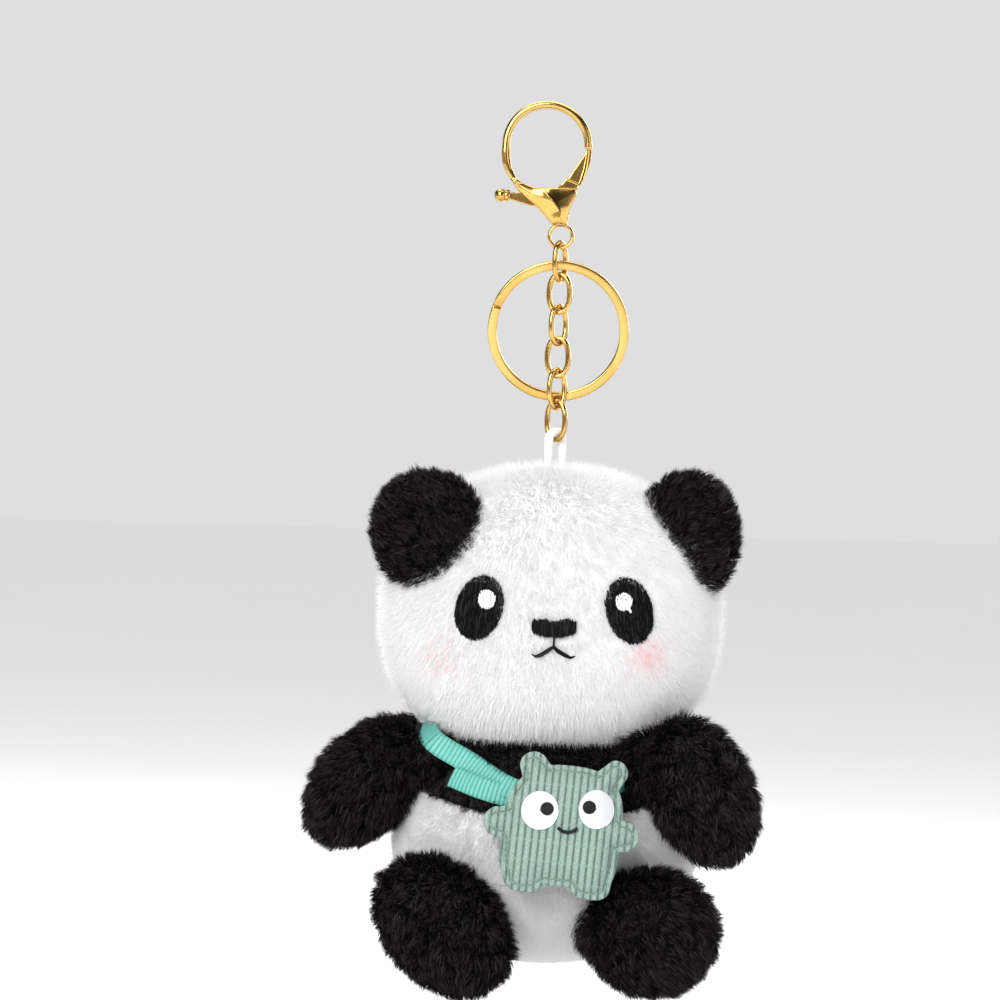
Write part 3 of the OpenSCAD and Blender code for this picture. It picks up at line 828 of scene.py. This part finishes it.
def tape(name, line, width, closed, *nodes, thick=0.45):
    """A woven tape along a line, its face turned away from the torso and to the front."""
    ahead = np.roll(line, -1, 0) - np.roll(line, 1, 0)
    if not closed:
        ahead[0], ahead[-1] = line[1] - line[0], line[-1] - line[-2]
    ahead = unit(ahead)
    face = unit((line - TORSO) / TORSO_HALF ** 2)
    front = np.clip((-line[:, 1] - 6) / 6, 0, 1)[:, None]
    face = unit(face + front * np.array([0, -0.9, 0]))
    over = unit(np.cross(ahead, face))
    over *= np.where(over[:, 2:3] < 0, -1, 1)
    face = unit(face - ahead * (face * ahead).sum(-1, keepdims=True))
    run = np.concatenate([[0], np.cumsum(np.linalg.norm(np.diff(line, axis=0), axis=1))])
    across = np.concatenate([np.linspace(-0.5, 0.5, 7), np.linspace(0.5, -0.5, 7)])
    outer = np.array([1.0] * 7 + [0.0] * 7)
    rib = 0.06 * np.abs(np.sin(run * math.pi / 0.93))
    lift = outer[None, :] * (thick + rib[:, None]) - (1 - outer)[None, :] * 0.05
    bow = -0.2 * (2 * across[None, :]) ** 2
    verts = (line[:, None, :] + over[:, None, :] * across[None, :, None] * width
             + face[:, None, :] * (lift + bow)[..., None])
    uv = np.stack([np.repeat(run, 14), np.tile(across * width, len(run))], -1)
    quads = grid_faces(len(line), 14)
    last = (len(line) - 1) * 14
    if closed:
        j = np.arange(14)
        k = (j + 1) % 14
        quads = np.concatenate([quads, np.stack([last + j, last + k, k, j], 1)])
    else:
        ends = []
        for start, flip in ((0, False), (last, True)):
            for j in range(6):
                quad = [start + j, start + 13 - j, start + 12 - j, start + j + 1]
                ends.append(quad[::-1] if flip else quad)
        quads = np.concatenate([quads, np.array(ends)])
    obj = make_object(name, verts.reshape(-1, 3), halves(quads), [RIBBON], uv=uv)
    attach(obj, "torso", "mint_ribbon", *nodes)


tape("neck_ribbon_band", band_line, BAND_WIDTH, True, "neck_ribbon")
tape("neck_ribbon_tail", through(TAIL, 20, False), TAIL_WIDTH, False)


# ---------- torso ----------

def belly_top(x):
    """The seam between black and white plush, lowest in the middle."""
    return -148.8 + 5.0 * np.clip(np.abs(x - AXIS_X) / 26, 0, 1) ** 2


def cut_at_seam(skin, keep_above, gap=0.0):
    """Closes a round body at the seam, by pressing what is beyond it onto the seam."""
    verts = skin[0].copy()
    level = belly_top(verts[:, 0]) - gap
    pick = np.maximum if keep_above else np.minimum
    verts[:, 2] = pick(verts[:, 2], level)
    return verts, skin[1]


torso_skin = rounded_solid(TORSO, TORSO_HALF, 2.2, 2.15, 110, 160)
chest_skin = cut_at_seam(torso_skin, True)
belly_skin = cut_at_seam(torso_skin, False, 0.02)
skin_piece("chest_plush", chest_skin, BLACK_CLOTH, "torso", "black_plush",
           "chest_cover", "upper_back_cover")
skin_piece("belly_plush", belly_skin, WHITE_CLOTH, "torso", "white_plush",
           "belly_cover", "lower_back_cover", "torso_filling")


def torso_keep(front, above):
    """Where pile grows on one part of the torso."""
    def keep(p):
        share = (p[:, 1] < TORSO[1]) == front
        share &= (p[:, 2] > belly_top(p[:, 0])) == above
        under_head = (((p - HEAD) / (HEAD_HALF + 1.0)) ** 2).sum(1) < 1
        return share * ~under_head * clear_of_ribbon(p)
    return keep


white_fur_piece("belly_pile", torso_skin, 46000, "torso", "white_plush",
                keep=torso_keep(True, False), length=2.0)
white_fur_piece("lower_back_pile", torso_skin, 26000, "torso", "white_plush",
                keep=torso_keep(False, False), length=2.0, width=0.11)
black_fur_piece("chest_pile", torso_skin, 11000, "torso", "black_plush", length=2.4,
                keep=torso_keep(True, True))
black_fur_piece("upper_back_pile", torso_skin, 13000, "torso", "black_plush", length=2.6,
                keep=torso_keep(False, True), width=0.1)


# ---------- limbs ----------

LIMBS = {
    "arm_left": ((-22.6, -2, -138), 7.6, (-34.2, -5.5, -142.7), (14.2, 8.4, 8.6), -48, 0.9),
    "arm_right": ((25.4, -10, -138), 7.2, (35.2, -17.4, -142.2), (14.4, 8.2, 9.0), 65, 0.9),
    "leg_left": ((-14.6, -9, -169), 8, (-17.4, -20.8, -171.0), (14.8, 8.8, 10.2), 46, 0.35),
    "leg_right": ((18.4, -11, -169.5), 8, (25.6, -20.8, -171.2), (11.9, 8.6, 11.5), 0, 0.35),
}


for name, (root, root_r, pad, half, degrees, down) in LIMBS.items():
    skin = limb_skin(root, root_r, pad, half, degrees)
    skin_piece(f"{name}_plush", skin, BLACK_CLOTH, name, "black_plush",
               f"{name}_cover", f"{name}_filling")

    def keep(p):
        inside = (((p - TORSO) / (TORSO_HALF - 0.5)) ** 2).sum(1) < 1
        return np.where(inside, 0.0, 1.0) * clear_of_ribbon(p)

    black_fur_piece(f"{name}_pile", skin, 20000, name, "black_plush", length=3.8,
                    keep=keep, comb=away_from(root, down), clumps=330, clump=0.62)


# ---------- pouch ----------

POUCH_TOP = np.array([6.4, -21.0, -137.2])
POUCH_SCALE = 0.965
POUCH_LEAN, POUCH_TURN, POUCH_DROP = 12.0, -5.0, 12.6
POUCH_HALF_WIDTH, POUCH_UP, POUCH_DOWN, POUCH_SKEW = 12.6, 13.0, 12.9, 0.07
# ears, arms and feet: middle, half width, half height, and how square each is
POUCH_LOBES = ((-7.2, 12.2, 3.1, 3.0, 2), (10.1, 12.3, 2.8, 2.9, 2),
               (-13.7, -0.6, 2.9, 3.3, 2), (13.6, -0.9, 3.0, 3.2, 2),
               (-6.9, -10.8, 4.3, 4.1, 3), (7.4, -10.9, 4.3, 4.1, 3))


def pouch_loop(count):
    """The pouch's outline: a rounded body with round ears, arms and feet on it."""
    angle = np.linspace(-math.pi, math.pi, count, endpoint=False)
    out = np.linspace(0, 20, 4001)
    u, v = np.cos(angle)[:, None] * out, np.sin(angle)[:, None] * out
    power = np.where(v > 0, 2.6, 6.0)
    inside = (np.abs((u - POUCH_SKEW * np.maximum(v, 0)) / POUCH_HALF_WIDTH) ** power
              + np.abs(v / np.where(v > 0, POUCH_UP, POUCH_DOWN)) ** power) < 1
    for lobe_u, lobe_v, half_u, half_v, square in POUCH_LOBES:
        inside |= (np.abs((u - lobe_u) / half_u) ** square
                   + np.abs((v - lobe_v) / half_v) ** square) < 1
    reach = out[len(out) - 1 - np.argmax(inside[:, ::-1], axis=1)]
    reach = sum(np.roll(reach, shift) for shift in range(-2, 3)) / 5
    return np.stack([reach * np.cos(angle), reach * np.sin(angle)], -1)


def to_pouch(u, v, high):
    """From the pouch's own plane to the object, high being its height over the back."""
    a = math.radians(POUCH_TURN)
    x = (u * math.cos(a) - v * math.sin(a)) * POUCH_SCALE
    z = (u * math.sin(a) + v * math.cos(a)) * POUCH_SCALE - POUCH_DROP
    lean = math.radians(POUCH_LEAN)
    y = -np.asarray(high, float)
    return np.stack([x, y * math.cos(lean) + z * math.sin(lean),
                     z * math.cos(lean) - y * math.sin(lean)], -1) + POUCH_TOP


pouch_edge = pouch_loop(420)
RIM, PILLOW = 1.35, 2.3


def edge_gap(u, v):
    """How far points are from the pouch's outline."""
    a, b = pouch_edge, np.roll(pouch_edge, -1, axis=0)
    points = np.stack([u, v], -1).reshape(-1, 2)
    best = np.full(len(points), 1e9)
    for start in range(0, len(points), 4000):
        p = points[start:start + 4000, None, :]
        along = b - a
        t = ((p - a) * along).sum(-1) / (along ** 2).sum(-1)
        near = a + along * np.clip(t, 0, 1)[..., None]
        best[start:start + 4000] = np.sqrt(((p - near) ** 2).sum(-1).min(1))
    return best.reshape(np.shape(u))


def pouch_height(u, gap, ribs=True):
    """The front wall: a rolled rim, a stitched groove, then a soft ribbed pillow."""
    rim = 0.42 * np.clip(np.sin(np.clip(gap / RIM, 0, 1) * math.pi), 0, 1) ** 0.5
    rise = np.clip((gap - RIM) / 4.2, 0, 1)
    pillow = PILLOW * np.sin(rise * math.pi / 2) ** 0.75
    inside = np.clip((gap - RIM) / 0.5, 0, 1)
    rib = 0.34 * np.abs(np.sin(math.pi * u / RIB_PITCH)) ** 0.5 * inside
    return 1.1 + np.where(gap < RIM, rim, pillow + 0.1) + (rib if ribs else 0.3 * inside)


rings = np.concatenate([[0.0], np.linspace(0.03, 0.86, 46), np.linspace(0.87, 1.0, 22)])
u = rings[:, None] * pouch_edge[None, :, 0]
v = rings[:, None] * pouch_edge[None, :, 1]
gap = edge_gap(u, v)
front_high = pouch_height(u, gap)
front_high[-1] = 0.75
front = to_pouch(u, v, front_high).reshape(-1, 3)
back = to_pouch(u, v, np.where(gap < 0.4, 0.55, 0.1)).reshape(-1, 3)
plane = np.stack([u, v], -1).reshape(-1, 2)
cols = len(pouch_edge)
front_tris = halves(grid_faces(len(rings), cols))[:, ::-1]
gap_flat = gap.reshape(-1)


def pouch_piece(name, verts, tris, mats, slot, nodes=(), face_mat=None, uv=None):
    """A piece of the pouch."""
    return attach(make_object(name, verts, tris, mats, face_mat, uv), "pouch", slot, *nodes)


rim_face = np.abs(gap_flat[front_tris].mean(1) - RIM) < 0.2
closing = halves(grid_faces(2, cols))
last = (len(rings) - 1) * cols
closing = np.where(closing < cols, closing + last, closing - cols + last + len(front))
shell_verts = np.concatenate([front, back])
shell_tris = np.concatenate([front_tris[:, ::-1], front_tris + len(front), closing])
shell_mat = np.concatenate([rim_face.astype(int), np.zeros(len(front_tris) + len(closing))])
pouch_shell = pouch_piece("pouch_cloth", shell_verts, shell_tris, [MINT_RIB, MINT_SEAM],
                          "mint_cloth", ["pouch_front", "pouch_back", "pouch_padding"],
                          shell_mat, np.concatenate([plane, plane]))


def on_pouch(u, v, lift, ribs=False):
    """Points on the front of the pouch."""
    u, v = np.asarray(u, float), np.asarray(v, float)
    return to_pouch(u, v, pouch_height(u, edge_gap(u, v), ribs) + lift)


# small stitches along the groove inside the rim
parts = []
inset = pouch_edge * (1 - (RIM + 0.05) / np.hypot(*pouch_edge.T))[:, None]
lengths = np.concatenate([[0], np.cumsum(np.hypot(*np.diff(inset, axis=0).T))])
for s in np.arange(0, lengths[-1] - 1.2, 1.3):
    at = np.linspace(s, s + 0.9, 6)
    uu, vv = np.interp(at, lengths, inset[:, 0]), np.interp(at, lengths, inset[:, 1])
    arch = np.sin(np.linspace(0, math.pi, 6))
    parts.append(tube(to_pouch(uu, vv, 1.25 + 0.22 * arch), 0.08 + 0.04 * arch, 6))
verts, tris, _ = joined(parts)
pouch_piece("pouch_stitches", verts, tris, THREAD_MINT, "mint_cloth")


def disc(cu, cv, ru, rv, lift, thick, rings_n=14, cols_n=72):
    """A thin round patch that follows the pouch's front."""
    t = np.linspace(0, 2 * math.pi, cols_n, endpoint=False)
    share = np.linspace(0, 1, rings_n)
    uu = cu + share[:, None] * ru * np.cos(t)
    vv = cv + share[:, None] * rv * np.sin(t)
    top = on_pouch(uu, vv, lift).reshape(-1, 3)
    low = on_pouch(uu, vv, lift - thick).reshape(-1, 3)
    tris = halves(grid_faces(rings_n, cols_n))
    rim_tris = halves(grid_faces(2, cols_n))
    start = (rings_n - 1) * cols_n
    rim_tris = np.where(rim_tris < cols_n, rim_tris + start,
                        rim_tris - cols_n + start + len(top))
    return (np.concatenate([top, low]),
            np.concatenate([tris, tris[:, ::-1] + len(top), rim_tris[:, ::-1]]))


white_discs = [disc(-5.0, 2.3, 4.0, 4.15, 0.3, 0.6), disc(6.9, 3.85, 3.8, 4.2, 0.3, 0.6)]
verts, tris, _ = joined(white_discs)
pouch_piece("pouch_eye_patches", verts, tris, [PRINT_WHITE], "pouch_white", ["pouch_eyes"])
pupils = [disc(-3.5, 2.8, 1.42, 1.42, 0.36, 0.2), disc(5.35, 4.1, 1.42, 1.42, 0.36, 0.2)]
verts, tris, _ = joined(pupils)
pouch_piece("pouch_pupil_prints", verts, tris, [PRINT_BLACK], "pouch_black",
            ["pouch_pupils"])
smile_t = np.linspace(0, 1, 20)
smile_u = -0.8 + smile_t * 4.1
smile_v = -0.9 - 0.95 * np.sin(smile_t * math.pi) ** 0.8 + 0.3 * smile_t
verts, tris = tube(on_pouch(smile_u, smile_v, 0.42), 0.35, 8, squash=0.6)
pouch_piece("pouch_smile_stitch", verts, tris, [PRINT_BLACK], "pouch_black",
            ["pouch_smile"])
loose = on_pouch([-9.6, -10.8, -12.6, -14.2], [-13.9, -14.2, -14.2, -14.6],
                 np.array([0.3, 0.4, 0.2, 0.1]))
verts, tris = tube(loose, 0.12, 6)
pouch_piece("pouch_loose_thread", verts, tris, THREAD_GREY, "mint_cloth")


# ---------- cord, chain and ring ----------

def metal_piece(name, verts, tris, body, node):
    """A gold piece that takes the place of a CAD node."""
    attach(make_object(name, verts, tris, [GOLD]), body, "gold_metal", node)


WIRE, LINK_LENGTH, LINK_WIDTH, PITCH, FIRST_TOP = 1.15, 8.0, 4.5, 6.73, -28.255
LINK_POWER = 2.25
LINK_YAW = (60, -15, 46, -12, 44, -34)
for number, yaw in enumerate(LINK_YAW, start=1):
    t = np.linspace(0, 2 * math.pi, 80, endpoint=False)
    loop = np.stack([
        LINK_WIDTH / 2 * np.sign(np.cos(t)) * np.abs(np.cos(t)) ** (2 / LINK_POWER),
        LINK_LENGTH / 2 * np.sign(np.sin(t)) * np.abs(np.sin(t)) ** (2 / LINK_POWER)], -1)
    a = math.radians(yaw)
    middle = FIRST_TOP - (number - 1) * PITCH - LINK_LENGTH / 2
    path = np.stack([AXIS_X + loop[:, 0] * math.cos(a), loop[:, 0] * math.sin(a),
                     middle + loop[:, 1]], -1)
    flat_way = (-math.sin(a), math.cos(a), 0)
    verts, tris = tube(path, WIRE / 2, 20, up=flat_way, closed=True)
    metal_piece(f"chain_wire_{number}", verts, tris, f"link_{number}",
                f"chain_link_{number}")

RING_R, COIL, RING_Z, RING_LEAN = 14.0, 0.82, -33.01, 10.0
turns = np.linspace(0, 4 * math.pi, 460)
split = math.radians(159.5)
cross = np.clip((turns - 2 * math.pi + math.radians(11)) / math.radians(22), 0, 1)
depth = -0.43 + 0.86 * cross * cross * (3 - 2 * cross)
ring_x, ring_z = RING_R * np.cos(turns + split), RING_R * np.sin(turns + split)
corner = np.linspace(0, 2 * math.pi, 24, endpoint=False)
section_r = np.sign(np.cos(corner)) * np.abs(np.cos(corner)) ** 0.45 * 0.98
section_y = np.sign(np.sin(corner)) * np.abs(np.sin(corner)) ** 0.6 * (COIL / 2 - 0.01)
shape = RING_R + section_r[None, :]
ring_verts = np.stack([shape * np.cos(turns + split)[:, None],
                       depth[:, None] + section_y[None, :],
                       shape * np.sin(turns + split)[:, None]], -1)
centers = np.stack([ring_x, depth, ring_z], -1)[[0, -1]]
ring_verts = np.concatenate([ring_verts.reshape(-1, 3), centers])
j = np.arange(24)
k = (j + 1) % 24
last = (len(turns) - 1) * 24
caps = np.concatenate([np.stack([np.full(24, last + 24), k, j], 1),
                       np.stack([np.full(24, last + 25), last + j, last + k], 1)])
ring_tris = np.concatenate([halves(grid_faces(len(turns), 24)), caps])
ring_verts[:, 2] -= RING_R
lean = math.radians(RING_LEAN)
y, z = ring_verts[:, 1].copy(), ring_verts[:, 2].copy()
ring_verts[:, 1] = y * math.cos(lean) - z * math.sin(lean)
ring_verts[:, 2] = y * math.sin(lean) + z * math.cos(lean)
ring_verts += [AXIS_X, 0, RING_Z]
metal_piece("split_ring_wire", ring_verts, ring_tris, "ring", "split_ring")

CORD_BEND_Z, CORD_BEND_R, CORD_YAW = -70.11, 1.9, 42.0
t = np.linspace(0, math.pi, 40)
down = np.linspace(1, 15.4, 60)[:, None] * [0, -1]
arc = np.stack([CORD_BEND_R * np.cos(t), CORD_BEND_R * np.sin(t)], -1)
loop = np.concatenate([arc[0] + down[::-1], arc, arc[-1] + down])
a = math.radians(CORD_YAW)
path = np.stack([AXIS_X + loop[:, 0] * math.cos(a), loop[:, 0] * math.sin(a),
                 CORD_BEND_Z + loop[:, 1]], -1)
sides = 30
verts, tris = tube(path, 0.92, sides, up=(-math.sin(a), math.cos(a), 0))
run = np.concatenate([[0], np.cumsum(np.linalg.norm(np.diff(path, axis=0), axis=1))])
turn = np.linspace(0, 2 * math.pi, sides, endpoint=False)
plait = (np.abs(np.sin(turn[None, :] * 3 + run[:, None] * 2.6))
         + np.abs(np.sin(turn[None, :] * 3 - run[:, None] * 2.6)))
body = verts[:len(path) * sides].reshape(len(path), sides, 3)
body = path[:, None, :] + (body - path[:, None, :]) * (0.93 + 0.06 * plait)[..., None]
verts[:len(path) * sides] = body.reshape(-1, 3)
attach(make_object("cord_plaited", verts, tris, [CORD_WHITE]), "head", "white_cord",
       "hanging_cord")


# ---------- clasp ----------

def segments_gap(points, outline, closed=True):
    """How far points in the plane are from an outline's edges."""
    a = np.array(outline, float)
    b = np.roll(a, -1, axis=0)
    if not closed:
        a, b = a[:-1], b[:-1]
    best = np.full(len(points), 1e9)
    for p, q in zip(a, b):
        along = q - p
        t = np.clip(((points - p) @ along) / (along @ along), 0, 1)
        near = p + t[:, None] * along
        best = np.minimum(best, np.hypot(*(points - near).T))
    return best


def settled(obj, *modifiers):
    """Puts modifiers, given as (kind, settings), on an object and makes them its mesh."""
    for kind, settings in modifiers:
        modifier = obj.modifiers.new(kind.lower(), kind)
        for name, value in settings.items():
            setattr(modifier, name, value)
    bpy.context.view_layer.update()
    done = obj.evaluated_get(bpy.context.evaluated_depsgraph_get())
    mesh = bpy.data.meshes.new_from_object(done)
    obj.modifiers.clear()
    obj.data = mesh
    mesh.materials.clear()
    mesh.materials.append(GOLD)
    mesh.polygons.foreach_set("use_smooth", np.full(len(mesh.polygons), True))


def softened(name, node, voxel, steps, change):
    """A copy of a cast part with its edges rounded, its shape changed and smoothed."""
    obj = bpy.data.objects.new(name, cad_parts[node].data.copy())
    bpy.context.scene.collection.objects.link(obj)
    settled(obj, ("REMESH", {"mode": "VOXEL", "voxel_size": voxel * MM}),
            ("SMOOTH", {"iterations": steps, "factor": 0.5}))
    reshape(obj, change)
    settled(obj, ("SMOOTH", {"iterations": 5, "factor": 0.5}))
    return obj


def reshape(obj, change):
    """Moves an object's vertices by a function of their places, in mm."""
    mesh = obj.data
    co = np.empty(len(mesh.vertices) * 3, dtype=np.float32)
    mesh.vertices.foreach_get("co", co)
    places = change(co.reshape(-1, 3).astype(float) / MM) * MM
    mesh.vertices.foreach_set("co", places.astype(np.float32).ravel())
    mesh.update()


RIDGE = [(-1.2, -16.6), (1.2, -19.2), (3.1, -21.8), (2.9, -24.3)]
CHEEK = [(-7.2, -15.6), (-5.8, -17.5), (-3.8, -19.3), (-1.6, -21), (0.2, -22.9),
         (1.5, -24.5), (4.7, -24.5), (4.9, -22.4), (5.4, -20.4), (6.5, -17.9),
         (6.2, -16.9), (-2.5, -16.8), (-5, -15.9), (-6.3, -14.9)]
HOOK_MIDDLE = ([(8.7 * math.cos(t), -7.9 + 8.7 * math.sin(t))
                for t in np.linspace(0, math.pi, 40)]
               + [(-8.8, -9.5), (-8.5, -11.8), (-7.9, -13.3), (-6.8, -15.1), (-5.2, -16.9)])


def clasp_shape(p):
    """Rounds the hook's band, and raises a ridge on each cheek's outer face."""
    plane = p[:, [0, 2]]
    ridge = segments_gap(plane, RIDGE, closed=False)
    edge = segments_gap(plane, CHEEK)
    on_cheek = (p[:, 2] < -16.0) & (p[:, 2] > -24.6)
    rise = 1.1 * edge / (ridge + edge + 0.3)
    outer = np.abs(p[:, 1]) > 1.7
    y = p[:, 1] + np.where(on_cheek & outer, np.sign(p[:, 1]) * (rise - 0.35), 0)
    middle = segments_gap(plane, HOOK_MIDDLE, closed=False)
    on_hook = p[:, 2] > -15.2
    round_off = np.sqrt(np.clip(1 - (np.clip(middle, 0, 0.82) / 0.95) ** 2, 0.05, 1))
    y = np.where(on_hook, y * (0.35 + 0.65 * round_off), y)
    return np.stack([p[:, 0], y, p[:, 2]], -1)


GATE_OUTER = ((-17.8, 7.0), (-15, 8.15), (-12.7, 8.8), (-9, 9.32), (-7.9, 9.3))
GATE_TAPER = ((-16.5, 1.0), (-15, 1.03), (-13, 0.94), (-11, 0.72), (-9.5, 0.5), (-8, 0.3))


def gate_shape(p):
    """Tapers the gate to its tip, and sinks a panel inside the rim of its outer edge."""
    x, y, z = p[:, 0], p[:, 1], p[:, 2]
    outer = np.interp(z, *np.array(GATE_OUTER).T)
    share = np.interp(z, *np.array(GATE_TAPER).T)
    on_gate = (z > -17.4) & (x > 3)
    x = np.where(on_gate, outer - (outer - x) * share, x)
    sunk = np.clip((outer - x - 0.5) / 0.3, 0, 1) * np.clip((z + 17.2) / 0.4, 0, 1)
    return np.stack([x, np.where(on_gate, y * (1 - 0.35 * sunk), y), z], -1)


attach(softened("clasp_cast", "clasp_body", 0.13, 3, clasp_shape), "clasp", "gold_metal",
       "clasp_body")
attach(softened("lever_cast", "clasp_lever", 0.12, 3, gate_shape), "lever", "gold_metal",
       "clasp_lever")
KNOB, KNOB_R = np.array([-9.5, 0, -18.55]), 1.4
neck = tube([KNOB + [KNOB_R * 0.7, 0, 0], KNOB + [KNOB_R + 0.45, 0, 0]], [1.15, 1.3], 32)
verts, tris, _ = joined([rounded_solid(KNOB, [KNOB_R] * 3, 2, 2, 40, 60), neck])
metal_piece("lever_knob", verts, tris, "lever", "clasp_lever")

for node, mat in (("clasp_rivet", GOLD), ("clasp_spring", STEEL), ("cord_knot", CORD_WHITE)):
    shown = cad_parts[node]
    shown.data.materials.clear()
    shown.data.materials.append(mat)


# ---------- floor, lights and camera ----------

FLOOR = textured("floor", (0.88, 0.88, 0.88), (0.92, 0.92, 0.92), 3, 0.85, 0.1, 300,
                 rough_spread=0.05)
floor_tree = FLOOR.node_tree
floor_shader = floor_tree.nodes["Principled BSDF"]
# the floor glows, painted light: none within 0.1 m of its middle, rising to 0.44 at 0.5 m out,
# so the far floor is as bright as the backdrop
floor_coords = floor_tree.nodes.new("ShaderNodeTexCoord")
distance = floor_tree.nodes.new("ShaderNodeVectorMath")
distance.operation = "LENGTH"
floor_tree.links.new(floor_coords.outputs["Object"], distance.inputs[0])
glow = floor_tree.nodes.new("ShaderNodeMapRange")
glow.inputs["From Min"].default_value = 0.1
glow.inputs["From Max"].default_value = 0.5
glow.inputs["To Max"].default_value = 0.44
floor_tree.links.new(distance.outputs["Value"], glow.inputs["Value"])
floor_tree.links.new(glow.outputs["Result"], floor_shader.inputs["Emission Strength"])
floor_shader.inputs["Emission Color"].default_value = (1, 1, 1, 1)
bpy.ops.mesh.primitive_plane_add(size=30, location=(0, 0, -0.215))
floor = bpy.context.object
floor.name = "floor"
floor.data.materials.append(FLOOR)


def area_light(name, place, target, size, power, color=(1, 1, 1)):
    """A soft studio light, in metres and watts."""
    light = bpy.data.lights.new(name, "AREA")
    light.shape = "RECTANGLE"
    light.size, light.size_y = size
    light.energy = power
    light.color = color
    obj = bpy.data.objects.new(name, light)
    obj.location = place
    aim = Vector(target) - Vector(place)
    obj.rotation_euler = aim.to_track_quat("-Z", "Y").to_euler()
    bpy.context.scene.collection.objects.link(obj)


MIDDLE = (0, 0, -0.11)
area_light("key", (-0.35, -0.8, 0.4), MIDDLE, (0.7, 0.7), 10.8, (1, 0.99, 0.97))
area_light("fill", (0.8, -0.5, -0.02), MIDDLE, (0.6, 0.9), 2.6, (0.97, 0.98, 1))
area_light("top", (0.05, 0.1, 0.6), MIDDLE, (0.9, 0.6), 5)
area_light("rim", (0.35, 0.55, 0.15), MIDDLE, (0.4, 0.4), 3)

# a white studio that is dim behind the camera and dark in a band above, for the metal
world = bpy.data.worlds.new("studio")
bpy.context.scene.world = world
world.use_nodes = True
tree = world.node_tree
background = tree.nodes["Background"]
coords = tree.nodes.new("ShaderNodeTexCoord")
split_dir = tree.nodes.new("ShaderNodeSeparateXYZ")
tree.links.new(coords.outputs["Generated"], split_dir.inputs["Vector"])


def levels_along(axis, stops):
    """Grey levels along a direction, from -1 to 1."""
    reach = tree.nodes.new("ShaderNodeMapRange")
    reach.inputs["From Min"].default_value = -1
    tree.links.new(split_dir.outputs[axis], reach.inputs["Value"])
    ramp = tree.nodes.new("ShaderNodeValToRGB")
    ramp.color_ramp.elements[0].position = stops[0][0]
    ramp.color_ramp.elements[1].position = stops[-1][0]
    for place, _ in stops[1:-1]:
        ramp.color_ramp.elements.new(place)
    for element, (_, level) in zip(ramp.color_ramp.elements, stops):
        element.color = (level, level, level, 1)
    tree.links.new(reach.outputs["Result"], ramp.inputs["Fac"])
    return ramp.outputs["Color"]


up_levels = levels_along("Z", ((0.0, 0.9), (0.5, 1.0), (0.58, 1.0), (0.68, 0.2), (0.82, 0.16),
                               (0.92, 1.0), (1.0, 1.0)))
back_levels = levels_along("Y", ((0.0, 0.34), (0.3, 0.28), (0.62, 0.9), (0.75, 1.0)))
both = tree.nodes.new("ShaderNodeMix")
both.data_type = "RGBA"
both.blend_type = "MULTIPLY"
both.inputs["Factor"].default_value = 1.0
tree.links.new(up_levels, both.inputs["A"])
tree.links.new(back_levels, both.inputs["B"])
tree.links.new(both.outputs["Result"], background.inputs["Color"])
background.inputs["Strength"].default_value = 0.74

camera_data = bpy.data.cameras.new("camera")
camera_data.lens = 135
camera_data.sensor_width = 36
camera_data.clip_start = 0.05
camera = bpy.data.objects.new("camera", camera_data)
camera.location = (-0.0080, -0.793, -0.08295)
roll = math.radians(1.5)
camera.rotation_euler = (Matrix.Rotation(math.pi / 2, 4, "X")
                         @ Matrix.Rotation(roll, 4, "Z")).to_euler()
bpy.context.scene.collection.objects.link(camera)
bpy.context.scene.camera = camera
bpy.context.scene.view_settings.view_transform = "Standard"
